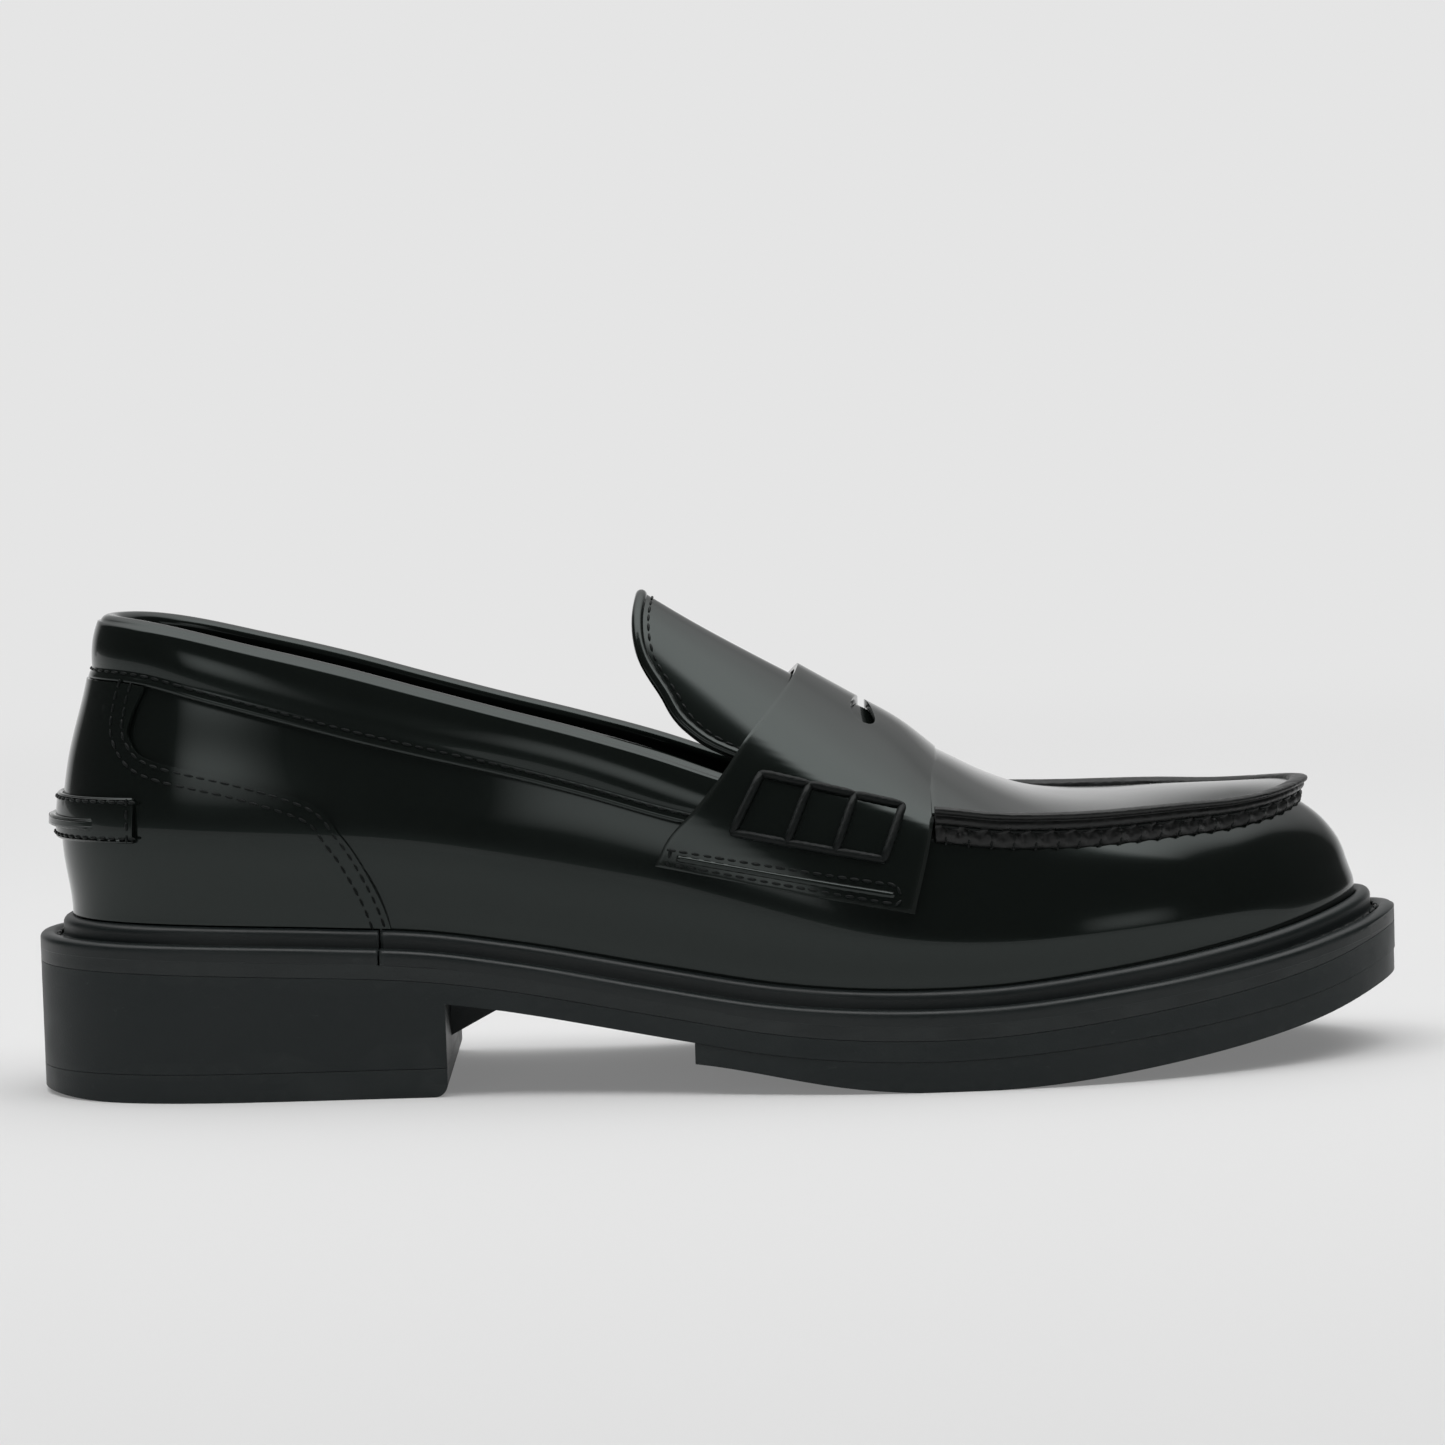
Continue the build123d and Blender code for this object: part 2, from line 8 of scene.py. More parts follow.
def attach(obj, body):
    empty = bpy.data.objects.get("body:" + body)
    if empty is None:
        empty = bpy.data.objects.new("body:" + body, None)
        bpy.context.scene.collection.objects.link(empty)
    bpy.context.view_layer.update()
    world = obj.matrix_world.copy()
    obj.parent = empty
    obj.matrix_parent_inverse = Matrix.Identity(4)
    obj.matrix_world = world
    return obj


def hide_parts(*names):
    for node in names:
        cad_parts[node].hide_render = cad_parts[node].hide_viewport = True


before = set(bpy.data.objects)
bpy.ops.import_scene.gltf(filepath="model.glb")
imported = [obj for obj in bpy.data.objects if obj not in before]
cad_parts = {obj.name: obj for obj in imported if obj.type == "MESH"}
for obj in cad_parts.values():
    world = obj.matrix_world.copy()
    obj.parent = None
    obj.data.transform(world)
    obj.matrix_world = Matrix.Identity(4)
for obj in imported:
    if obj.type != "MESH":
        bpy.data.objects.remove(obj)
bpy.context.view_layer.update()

mm = 0.001

# The upper is drawn on the shoe's last: feather line, ribs and side curves in mm.
last = {
    "halfLength": 143.2,
    "halfWidth": 52.0,
    "weltMargin": 8.4,
    "flangeTop": 6.2,
    "beadTop": 9.6,
    "beadWidth": 3.4,
    "grooveWidth": 1.9,
    "collarFront": 6.0,
}
featherPolygon = [
    (-140, 1), (-135, -18), (-116, -28), (-90, -29), (-62, -29), (-34, -31), (-6, -38),
    (18, -45), (42, -47), (66, -45), (88, -38.5), (108, -28), (125, -15), (137, 3), (135, 21),
    (121, 35), (100, 43.5), (76, 47.5), (52, 46), (28, 40), (2, 30.5), (-24, 26), (-52, 28),
    (-80, 31.5), (-106, 31), (-130, 22),
]
seatLine = [
    (-143, 27.6), (-107, 26.3), (-80, 25.1), (-60, 23.8), (-42, 21.2), (-12, 15.9), (12, 12.2),
    (36, 10.6), (56, 10.8), (77, 12.7), (98, 15.3), (119, 19.0), (134, 23.0), (143, 26.3),
]
topLine = [
    (-137, 100.6), (-120, 99.3), (-93, 93.0), (-77, 88.8), (-60, 83.8), (-44, 79.2), (-28, 74.8),
    (-11, 69.6), (1, 65.2), (15, 60.4), (30, 56.6), (45, 53.8), (58, 52.2), (70, 51.6), (95, 51.8),
    (108, 52.4), (120, 53.8), (135, 54.5),
]
moccasinSeam = [
    (-137, 87.0), (-118, 85.8), (-105, 82.2), (-89, 77.6), (-73, 73.0), (-60, 69.6), (-44, 65.6),
    (-28, 61.2), (-8, 55.4), (10, 51.8), (28, 50.8), (44, 50.4), (57, 48.7), (70, 48.1),
    (95, 48.7), (108, 49.3), (117, 50.6), (123, 52.0),
]
ribShapes = [
    (-135, -1.6, 0.1, 4.4, 7.8),
    (-110, -2.2, -1.0, 2.6, 6.0),
    (-70, -2.2, -1.6, 1.2, 4.6),
    (-30, -1.6, -1.2, 0.8, 3.6),
    (10, -1.8, -1.4, 1.2, 5.4),
    (45, -1.4, 0.0, 3.2, 7.8),
    (80, -0.8, 0.8, 3.6, 8.4),
    (110, 0.2, 2.0, 5.4, 11.4),
    (135, 1.3, 3.4, 8.0, 16.2),
]
lipHeight = [(20, 6.6), (100, 6.0), (124, 4.8)]
tongueCrest = [(-20, 104.6), (-15, 101.4), (-5, 95.0), (11, 85.7), (18, 81.8), (24, 78.5)]
strapCrest = [(-20, 107.5), (0, 95.8), (18, 84.8), (28, 78.8), (40, 71.5), (47, 65.6)]
apronCrest = [
    (18, 81.0), (30, 74.4), (41, 68.4), (49, 64.2), (57, 60.0), (65, 56.9), (74, 55.3),
    (83, 54.9), (96, 55.5), (126, 56.0),
]


# last and curves


def smooth(points, x):
    pts = np.array(points, float)
    slopes = np.gradient(pts[:, 1], pts[:, 0])
    x = np.clip(np.asarray(x, float), pts[0, 0], pts[-1, 0])
    i = np.clip(np.searchsorted(pts[:, 0], x) - 1, 0, len(pts) - 2)
    width = pts[i + 1, 0] - pts[i, 0]
    t = (x - pts[i, 0]) / width
    start = (1 + 2 * t) * (1 - t) ** 2 * pts[i, 1] + t * (1 - t) ** 2 * width * slopes[i]
    end = (3 - 2 * t) * t**2 * pts[i + 1, 1] - t**2 * (1 - t) * width * slopes[i + 1]
    return start + end


def splinePoint(polygon, u):
    pts = np.array(polygon, float)
    place = np.mod(u, 1.0) * len(pts)
    i = np.floor(place).astype(int)
    t = place - i
    weights = ((1 - t) ** 3, 3 * t**3 - 6 * t**2 + 4, 1 + 3 * (t + t**2 - t**3), t**3)
    return sum(w[..., None] * pts[(i + k - 1) % len(pts)] for k, w in enumerate(weights)) / 6


def outlineFit():
    pts = splinePoint(featherPolygon, np.arange(720) / 720)
    low, high = pts.min(0), pts.max(0)
    target = np.array([last["halfLength"], last["halfWidth"]]) - last["weltMargin"]
    return 2 * target / (high - low), (low + high) / 2


outlineScale, outlineCentre = outlineFit()


def feather(u):
    # plan point of the feather line and its outward direction
    u = np.asarray(u, float)
    here = (splinePoint(featherPolygon, u) - outlineCentre) * outlineScale
    ahead = (splinePoint(featherPolygon, u + 1e-4) - outlineCentre) * outlineScale
    along = ahead - here
    along /= np.linalg.norm(along, axis=-1, keepdims=True)
    return here, np.stack([along[..., 1], -along[..., 0]], -1)


def uAt(x, side):
    places = 0.5 + side * np.linspace(0.48, 0, 481)
    xs = feather(places)[0][:, 0]
    end = int(xs.argmax()) + 1
    return np.interp(x, xs[:end], places[:end])


def roundHeel(x):
    return uAt(x, 1) - 1, uAt(x, -1)


def roundToe(x):
    return uAt(x, -1), uAt(x, 1)


def buildRibs(count=720, steps=160):
    # lean of the wall over every feather point, as a table of u and height
    us = np.arange(count + 1) / count
    xs = feather(us)[0][:, 0]
    base = smooth(seatLine, xs) + last["beadTop"]
    rise = smooth(topLine, xs) - base
    leans = [smooth([(r[0], r[k]) for r in ribShapes], xs) for k in range(1, 5)]
    table = np.zeros((count + 1, steps))
    for n in range(count + 1):
        b, r = base[n], rise[n]
        knots = [(b - 8, 0), (b, 0), (b + 1, 0)]
        knots += [(b + r * (k + 1) / 4, leans[k][n]) for k in range(4)]
        knots += [(b + r * 1.2, 2 * leans[3][n] - leans[2][n])]
        table[n] = smooth(knots, np.linspace(b - 8, b + 1.2 * r, steps))
    return base, rise, table, np.gradient(table, axis=1) / ((8 + 1.2 * rise) / (steps - 1))[:, None]


ribBase, ribRise, ribLean, ribSlope = buildRibs()


def wallPoints(u, z, out):
    u, z, out = np.broadcast_arrays(*[np.asarray(v, float) for v in (u, z, out)])
    here, normal = feather(u)
    place = np.mod(u, 1.0) * (len(ribBase) - 1)
    i = np.minimum(place.astype(int), len(ribBase) - 2)
    f = place - i
    base = ribBase[i] * (1 - f) + ribBase[i + 1] * f
    rise = ribRise[i] * (1 - f) + ribRise[i + 1] * f
    steps = ribLean.shape[1]
    row = np.clip((z - base + 8) / (8 + 1.2 * rise), 0, 1) * (steps - 1)
    j = np.minimum(row.astype(int), steps - 2)
    g = row - j

    def mix(table):
        near = table[i, j] * (1 - g) + table[i, j + 1] * g
        far = table[i + 1, j] * (1 - g) + table[i + 1, j + 1] * g
        return near * (1 - f) + far * f

    lean, slope = mix(ribLean), mix(ribSlope)
    size = np.hypot(1.0, slope)
    plan = here + normal * (out / size - lean)[..., None]
    return np.concatenate([plan, (z + out * slope / size)[..., None]], -1)


def onWall(u, curve):
    z = smooth(curve, feather(u)[0][..., 0])
    for _ in range(5):
        z = smooth(curve, wallPoints(u, z, 0)[..., 0])
    return z


def wallAt(x, z, out, side):
    places = np.linspace(uAt(x - 14, side), uAt(min(x + 18, 134), side), 25)
    pts = wallPoints(places, z, out)
    u = np.interp(x, pts[:, 0], places)
    return wallPoints(u, z, out)


def aboveSeat(u, height):
    return smooth(seatLine, feather(u)[0][..., 0]) + height


def runLength(pts):
    # distance along a path at each of its points
    return np.concatenate([[0], np.cumsum(np.linalg.norm(np.diff(pts, axis=0), axis=1))])


archShape = {"underTopLine": 3.0, "underCrest": 10.0, "climb": 0.5, "flat": 0.36}


def archSection(x, foot, out, crest, count=81):
    # evenly shared points over the arch at x, from the outer foot to the inner foot
    underTopLine = float(smooth(topLine, x)) - archShape["underTopLine"]
    shoulder = min(underTopLine, crest - archShape["underCrest"])
    halves = []
    for side in (-1, 1):
        halves.append([wallAt(x, z, out, side)[1:] for z in np.linspace(foot, shoulder, 4)])
    middle = (halves[0][-1][0] + halves[1][-1][0]) / 2
    top = np.array([middle, crest])
    parts = []
    for wall, side in zip(halves, (-1, 1)):
        start = wall[-1]
        climb = (start - wall[-2]) / np.linalg.norm(start - wall[-2])
        steep = start + climb * (crest - start[1]) * archShape["climb"]
        level = top + np.array([side * archShape["flat"] * abs(start[0] - middle), 0.0])
        bend = []
        for t in [k / 8 for k in range(1, 8)]:
            weights = ((1 - t) ** 3, 3 * (1 - t) ** 2 * t, 3 * (1 - t) * t**2, t**3)
            bend.append(sum(w * p for w, p in zip(weights, (start, steep, level, top))))
        parts.append(list(wall) + bend)
    pts = np.array(parts[0] + [top] + parts[1][::-1])
    run = runLength(pts)
    half = run[len(parts[0])]
    run = np.where(run <= half, run / half, 1 + (run - half) / (run[-1] - half))
    fine = np.linspace(0, 2, count)
    y = smooth(list(zip(run, pts[:, 0])), fine)
    z = smooth(list(zip(run, pts[:, 1])), fine)
    return np.stack([np.full(count, float(x)), y, z], -1)


class Arch:
    # arch sections at regular x, looked up at any x and share of the arch
    def __init__(self, x0, x1, foot, out, crestCurve, lift=0.0, steps=48):
        self.xs = np.linspace(x0, x1, steps)
        rows = [archSection(x, foot, out, float(smooth(crestCurve, x)) + lift) for x in self.xs]
        self.rows = np.array(rows)

    def at(self, x, share):
        i = np.clip(np.searchsorted(self.xs, x) - 1, 0, len(self.xs) - 2)
        f = (x - self.xs[i]) / (self.xs[i + 1] - self.xs[i])
        place = share / 2 * (self.rows.shape[1] - 1)
        j = np.clip(place.astype(int), 0, self.rows.shape[1] - 2)
        g = (place - j)[..., None]
        near = self.rows[i, j] * (1 - g) + self.rows[i, j + 1] * g
        far = self.rows[i + 1, j] * (1 - g) + self.rows[i + 1, j + 1] * g
        return near * (1 - f[..., None]) + far * f[..., None]

    def onEdge(self, edge, share):
        # where each share of the arch meets a side-view edge given as (z, x) points
        x = np.full(share.shape, float(np.mean([p[1] for p in edge])))
        for _ in range(40):
            x = 0.5 * x + 0.5 * smooth(edge, self.at(x, share)[..., 2])
        return x

    def half(self, x, side):
        # shares and points up the outer (-1) or inner (1) half of the arch at x
        shares = np.linspace(0 if side < 0 else 2, 1, 200)
        return shares, self.at(np.full(200, float(x)), shares)

    def find(self, x, z, side):
        # point of the arch at a side-view place
        shares, pts = self.half(x, side)
        share = np.interp(z, pts[:, 2], shares)
        return self.at(np.array([float(x)]), np.array([share]))[0]


# mesh helpers


def outwardFacing(mesh):
    mesh.calc_loop_triangles()
    count = len(mesh.loop_triangles)
    index = np.zeros(count * 3, int)
    mesh.loop_triangles.foreach_get("vertices", index)
    pts = np.zeros(len(mesh.vertices) * 3)
    mesh.vertices.foreach_get("co", pts)
    tri = pts.reshape(-1, 3)[index.reshape(-1, 3)]
    if np.einsum("ij,ij->", tri[:, 0], np.cross(tri[:, 1], tri[:, 2])) < 0:
        mesh.flip_normals()


def newObject(name, data):
    piece = bpy.data.objects.new(name, data)
    bpy.context.collection.objects.link(piece)
    return piece


def shadeSmooth(mesh):
    mesh.polygons.foreach_set("use_smooth", [True] * len(mesh.polygons))


def gridPiece(name, grid, closeAcross=False, flip=False):
    # grid[i, j] in mm; closeAcross joins the last j to the first and caps both ends
    ni, nj = grid.shape[:2]
    faces = []
    for i in range(ni - 1):
        for j in range(nj if closeAcross else nj - 1):
            a, b = i + 1, (j + 1) % nj
            faces.append((i * nj + j, i * nj + b, a * nj + b, a * nj + j))
    if closeAcross:
        faces.append(tuple(range(nj))[::-1])
        faces.append(tuple((ni - 1) * nj + j for j in range(nj)))
    mesh = bpy.data.meshes.new(name)
    mesh.from_pydata((grid.reshape(-1, 3) * mm).tolist(), [], faces)
    shadeSmooth(mesh)
    if closeAcross:
        outwardFacing(mesh)
    elif flip:
        mesh.flip_normals()
    mesh.update()
    return newObject(name, mesh)


def baked(piece):
    # the piece with its modifiers applied
    bpy.context.view_layer.update()
    source = piece.evaluated_get(bpy.context.evaluated_depsgraph_get())
    mesh = bpy.data.meshes.new_from_object(source)
    piece.modifiers.clear()
    if piece.type == "MESH":
        piece.data = mesh
        return piece
    name = piece.name
    result = newObject(name + "Made", mesh)
    bpy.data.objects.remove(piece)
    result.name = name
    return result


def leatherSheet(name, grid, thickness, edge, flip=False, cutter=None):
    # thick sheet under an outer grid, with rounded cut edges and what the cutter takes out
    piece = gridPiece(name, grid, flip=flip)
    wall = piece.modifiers.new("Thickness", "SOLIDIFY")
    wall.thickness = thickness * mm
    wall.offset = -1
    if cutter:
        cut = piece.modifiers.new("Slot", "BOOLEAN")
        cut.operation = "DIFFERENCE"
        cut.solver = "EXACT"
        cut.object = cutter
    rounding = piece.modifiers.new("Edge", "BEVEL")
    rounding.width = edge * mm
    rounding.segments = 3
    rounding.limit_method = "ANGLE"
    rounding.angle_limit = math.radians(50)
    piece = baked(piece)
    shadeSmooth(piece.data)
    if cutter:
        bpy.data.objects.remove(cutter)
    return piece


def place(piece, body, slotName, material, *nodes):
    piece.data.materials.clear()
    piece.data.materials.append(material)
    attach(piece, body)
    if nodes:
        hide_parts(*nodes)


def placeLeather(piece, *nodes):
    place(piece, "shoe", "upper_leather", polishedLeather, *nodes)


def bandRows(inner, outer, edge, rows):
    # closed profile of a band as (share of its height, rise in mm, outward offset)
    edge = min(edge, (outer - inner) * 0.49)
    turn = [(edge * (1 - math.cos(a)), edge * (1 - math.sin(a))) for a in (0.4, 0.8, 1.2)]
    profile = [(t, 0, outer) for t in np.linspace(0, 1, rows)]
    profile[0] = (0, edge, outer)
    profile[-1] = (1, -edge, outer)
    profile += [(1, -b, outer - a) for a, b in turn]
    profile += [(1, -b, inner + a) for a, b in turn[::-1]]
    profile += [(t, 0, inner) for t in np.linspace(1, 0, max(rows // 2, 4))[1:-1]]
    profile += [(0, b, inner + a) for a, b in turn]
    profile += [(0, b, outer - a) for a, b in turn[::-1]]
    return np.array(profile)


def wallSweep(name, us, low, high, profile):
    us = np.asarray(us)[:, None]
    low, high = np.asarray(low)[:, None], np.asarray(high)[:, None]
    z = low + (high - low) * profile[None, :, 0] + profile[None, :, 1]
    return gridPiece(name, wallPoints(us, z, profile[None, :, 2]), closeAcross=True)


def seatSweep(name, us, profile):
    # profile of (plan offset from the feather line, height over the seat line)
    here, normal = feather(us)
    seat = smooth(seatLine, here[:, 0])
    plan = here[:, None] + normal[:, None] * profile[None, :, 0, None]
    z = seat[:, None] + profile[None, :, 1]
    grid = np.concatenate([plan, z[..., None]], -1)
    return gridPiece(name, grid, closeAcross=True)


# materials


def nodeGroup(name, inputs, outputs):
    tree = bpy.data.node_groups.new(name, "ShaderNodeTree")
    for label, value in inputs:
        socket = tree.interface.new_socket(label, in_out="INPUT", socket_type="NodeSocketFloat")
        socket.default_value = value
    for label in outputs:
        tree.interface.new_socket(label, in_out="OUTPUT", socket_type="NodeSocketFloat")
    return tree, tree.nodes.new("NodeGroupInput"), tree.nodes.new("NodeGroupOutput")


def newNode(tree, kind, values=(), **settings):
    # a node with its settings and the values of its unlinked inputs
    node = tree.nodes.new(kind)
    for label, value in settings.items():
        setattr(node, label, value)
    for socket, value in dict(values).items():
        node.inputs[socket].default_value = value
    return node


def connect(tree, *pairs):
    for source, target in pairs:
        tree.links.new(source, target)


def shaderMath(tree, operation, a, b):
    node = newNode(tree, "ShaderNodeMath", operation=operation)
    for socket, value in zip(node.inputs, (a, b)):
        if isinstance(value, (int, float)):
            socket.default_value = value
        else:
            tree.links.new(value, socket)
    return node.outputs[0]


def buildGrainGroup():
    # pores, soft mottling and slow swells of a surface, on object coordinates
    tree, given, result = nodeGroup(
        "surfaceGrain", [("Pore Scale", 900.0), ("Mottle Scale", 40.0), ("Swell Scale", 55.0)],
        ["Pores", "Mottle", "Swell"],
    )
    coordinates = newNode(tree, "ShaderNodeTexCoord")
    pores = newNode(tree, "ShaderNodeTexVoronoi", feature="SMOOTH_F1")
    mottle = newNode(tree, "ShaderNodeTexNoise", {"Detail": 5})
    swell = newNode(tree, "ShaderNodeTexNoise", {"Detail": 0})
    for texture, label, outlet, target in (
        (pores, "Pore Scale", "Distance", "Pores"), (mottle, "Mottle Scale", "Fac", "Mottle"),
        (swell, "Swell Scale", "Fac", "Swell"),
    ):
        connect(
            tree, (coordinates.outputs["Object"], texture.inputs["Vector"]),
            (given.outputs[label], texture.inputs["Scale"]),
            (texture.outputs[outlet], result.inputs[target]),
        )
    return tree


wearLimits = {"scuffFrom": 0.62, "scuffGain": 9.0, "edgeFrom": 0.52}


def buildWearGroup():
    # fine scuffs and specks that gather on raised edges
    tree, given, result = nodeGroup(
        "edgeScuff", [("Scuff Scale", 160.0), ("Edge Gain", 6.0)], ["Scuff", "Edge"]
    )
    coordinates = newNode(tree, "ShaderNodeTexCoord")
    stretch = newNode(tree, "ShaderNodeMapping", {"Scale": (0.35, 1, 1)})
    scratches = newNode(tree, "ShaderNodeTexNoise", {"Detail": 8, "Roughness": 0.75})
    lifted = shaderMath(tree, "SUBTRACT", scratches.outputs["Fac"], wearLimits["scuffFrom"])
    scuff = shaderMath(tree, "MULTIPLY", lifted, wearLimits["scuffGain"])
    shape = newNode(tree, "ShaderNodeNewGeometry")
    ridge = shaderMath(tree, "SUBTRACT", shape.outputs["Pointiness"], wearLimits["edgeFrom"])
    edge = shaderMath(tree, "MULTIPLY", ridge, given.outputs["Edge Gain"])
    scuffShare, edgeShare = newNode(tree, "ShaderNodeClamp"), newNode(tree, "ShaderNodeClamp")
    connect(
        tree, (coordinates.outputs["Object"], stretch.inputs["Vector"]),
        (stretch.outputs["Vector"], scratches.inputs["Vector"]),
        (given.outputs["Scuff Scale"], scratches.inputs["Scale"]),
        (scuff, scuffShare.inputs["Value"]), (edge, edgeShare.inputs["Value"]),
        (scuffShare.outputs[0], result.inputs["Scuff"]),
        (edgeShare.outputs[0], result.inputs["Edge"]),
    )
    return tree


grainGroup = buildGrainGroup()
wearGroup = buildWearGroup()
mottleRange = (0.3, 0.7)


def finish(name, **look):
    # one finish: two tones mottled together, with pores, scuffs and worn edges
    material = bpy.data.materials.new(name)
    material.use_nodes = True
    tree = material.node_tree
    shader = tree.nodes["Principled BSDF"]
    scales = {"Pore Scale": look["poreScale"], "Mottle Scale": look["mottleScale"]}
    grain = newNode(tree, "ShaderNodeGroup", scales, node_tree=grainGroup)
    scales = {"Scuff Scale": look.get("scuffScale", 160.0)}
    wear = newNode(tree, "ShaderNodeGroup", scales, node_tree=wearGroup)
    colours = {"A": (*look["tone"], 1), "B": (*look["secondTone"], 1)}
    tones = newNode(tree, "ShaderNodeMix", colours, data_type="RGBA")
    worn = newNode(tree, "ShaderNodeMix", {"B": (*look["wornTone"], 1)}, data_type="RGBA")
    scuffing = shaderMath(tree, "MULTIPLY", wear.outputs["Scuff"], look.get("scuff", 0.0))
    edging = shaderMath(tree, "MULTIPLY", wear.outputs["Edge"], look.get("edge", 0.0))
    limits = zip(("From Min", "From Max", "To Min", "To Max"), (*mottleRange, *look["roughness"]))
    spread = newNode(tree, "ShaderNodeMapRange", limits)
    heights = {"Strength": look["bump"], "Distance": look.get("depth", 0.1) * mm}
    bump = newNode(tree, "ShaderNodeBump", heights)
    if "swell" in look:
        swelling = newNode(tree, "ShaderNodeBump", {"Distance": look["swell"] * mm})
        connect(
            tree, (grain.outputs["Swell"], swelling.inputs["Height"]),
            (swelling.outputs["Normal"], bump.inputs["Normal"]),
        )
    connect(
        tree, (grain.outputs["Mottle"], tones.inputs["Factor"]),
        (shaderMath(tree, "MAXIMUM", scuffing, edging), worn.inputs["Factor"]),
        (tones.outputs["Result"], worn.inputs["A"]),
        (worn.outputs["Result"], shader.inputs["Base Color"]),
        (grain.outputs["Mottle"], spread.inputs["Value"]),
        (spread.outputs["Result"], shader.inputs["Roughness"]),
        (grain.outputs["Pores"], bump.inputs["Height"]),
        (bump.outputs["Normal"], shader.inputs["Normal"]),
    )
    for socket, label, usual in (
        ("Metallic", "metallic", 0.0), ("Coat Weight", "coat", 0.0),
        ("Coat Roughness", "coatRoughness", 0.1), ("Specular IOR Level", "specular", 0.5),
        ("Sheen Weight", "sheen", 0.0),
    ):
        shader.inputs[socket].default_value = look.get(label, usual)
    shader.inputs["Specular Tint"].default_value = (*look.get("tint", (1.0, 1.0, 1.0)), 1)
    return material


polishedLeather = finish(
    "polishedLeather", tone=(0.0035, 0.0050, 0.0042), secondTone=(0.0060, 0.0078, 0.0068),
    wornTone=(0.035, 0.038, 0.036), edge=0.25, poreScale=1500.0, mottleScale=25.0,
    roughness=(0.13, 0.20), bump=0.02, depth=0.05, coat=0.35, coatRoughness=0.03, swell=0.12,
    specular=0.25, tint=(0.82, 1.0, 0.95),
)
edgeLeather = finish(
    "edgeLeather", tone=(0.003, 0.0036, 0.0035), secondTone=(0.008, 0.009, 0.0085),
    wornTone=(0.03, 0.032, 0.030), edge=0.3, scuff=0.4, poreScale=900.0, mottleScale=300.0,
    roughness=(0.25, 0.5), bump=0.5, depth=0.3, specular=0.35,
)
liningLeather = finish(
    "liningLeather", tone=(0.006, 0.006, 0.006), secondTone=(0.012, 0.0115, 0.011),
    wornTone=(0.04, 0.038, 0.035), scuff=0.2, poreScale=1300.0, mottleScale=60.0,
    roughness=(0.42, 0.6), bump=0.25, depth=0.1,
)
suede = finish(
    "suede", tone=(0.010, 0.010, 0.010), secondTone=(0.022, 0.021, 0.020),
    wornTone=(0.05, 0.048, 0.045), scuff=0.3, poreScale=2600.0, mottleScale=120.0,
    roughness=(0.85, 1.0), bump=0.6, depth=0.2, sheen=0.3,
)
soleRubber = finish(
    "soleRubber", tone=(0.0065, 0.0105, 0.0110), secondTone=(0.0095, 0.0145, 0.0150),
    wornTone=(0.06, 0.07, 0.068), scuff=0.3, edge=0.3, scuffScale=420.0, poreScale=2200.0,
    mottleScale=55.0, roughness=(0.42, 0.55), bump=0.18, specular=0.35,
)
weltRubber = finish(
    "weltRubber", tone=(0.0055, 0.0090, 0.0092), secondTone=(0.0090, 0.0130, 0.0132),
    wornTone=(0.06, 0.07, 0.068), scuff=0.2, edge=0.45, poreScale=2400.0, mottleScale=90.0,
    roughness=(0.34, 0.46), bump=0.12, specular=0.4,
)
waxedThread = finish(
    "waxedThread", tone=(0.003, 0.0042, 0.0040), secondTone=(0.008, 0.0100, 0.0095),
    wornTone=(0.03, 0.035, 0.034), edge=0.2, poreScale=3500.0, mottleScale=700.0,
    roughness=(0.30, 0.48), bump=0.5, depth=0.15, specular=0.15,
)
corkGranules = finish(
    "corkGranules", tone=(0.30, 0.17, 0.08), secondTone=(0.48, 0.31, 0.17),
    wornTone=(0.1, 0.05, 0.03), scuff=0.6, poreScale=400.0, mottleScale=300.0,
    roughness=(0.75, 0.9), bump=0.5,
)
leatherBoard = finish(
    "leatherBoard", tone=(0.24, 0.14, 0.07), secondTone=(0.34, 0.21, 0.11),
    wornTone=(0.5, 0.36, 0.2), scuff=0.4, poreScale=800.0, mottleScale=200.0, roughness=(0.7, 0.85),
    bump=0.3,
)
foamCells = finish(
    "foamCells", tone=(0.05, 0.05, 0.055), secondTone=(0.09, 0.09, 0.095),
    wornTone=(0.15, 0.15, 0.15), poreScale=1200.0, mottleScale=300.0, roughness=(0.85, 0.95),
    bump=0.5,
)
springSteel = finish(
    "springSteel", tone=(0.45, 0.45, 0.46), secondTone=(0.56, 0.56, 0.57),
    wornTone=(0.2, 0.15, 0.1), scuff=0.3, metallic=1.0, poreScale=900.0, mottleScale=250.0,
    roughness=(0.25, 0.4), bump=0.1,
)


# stitches


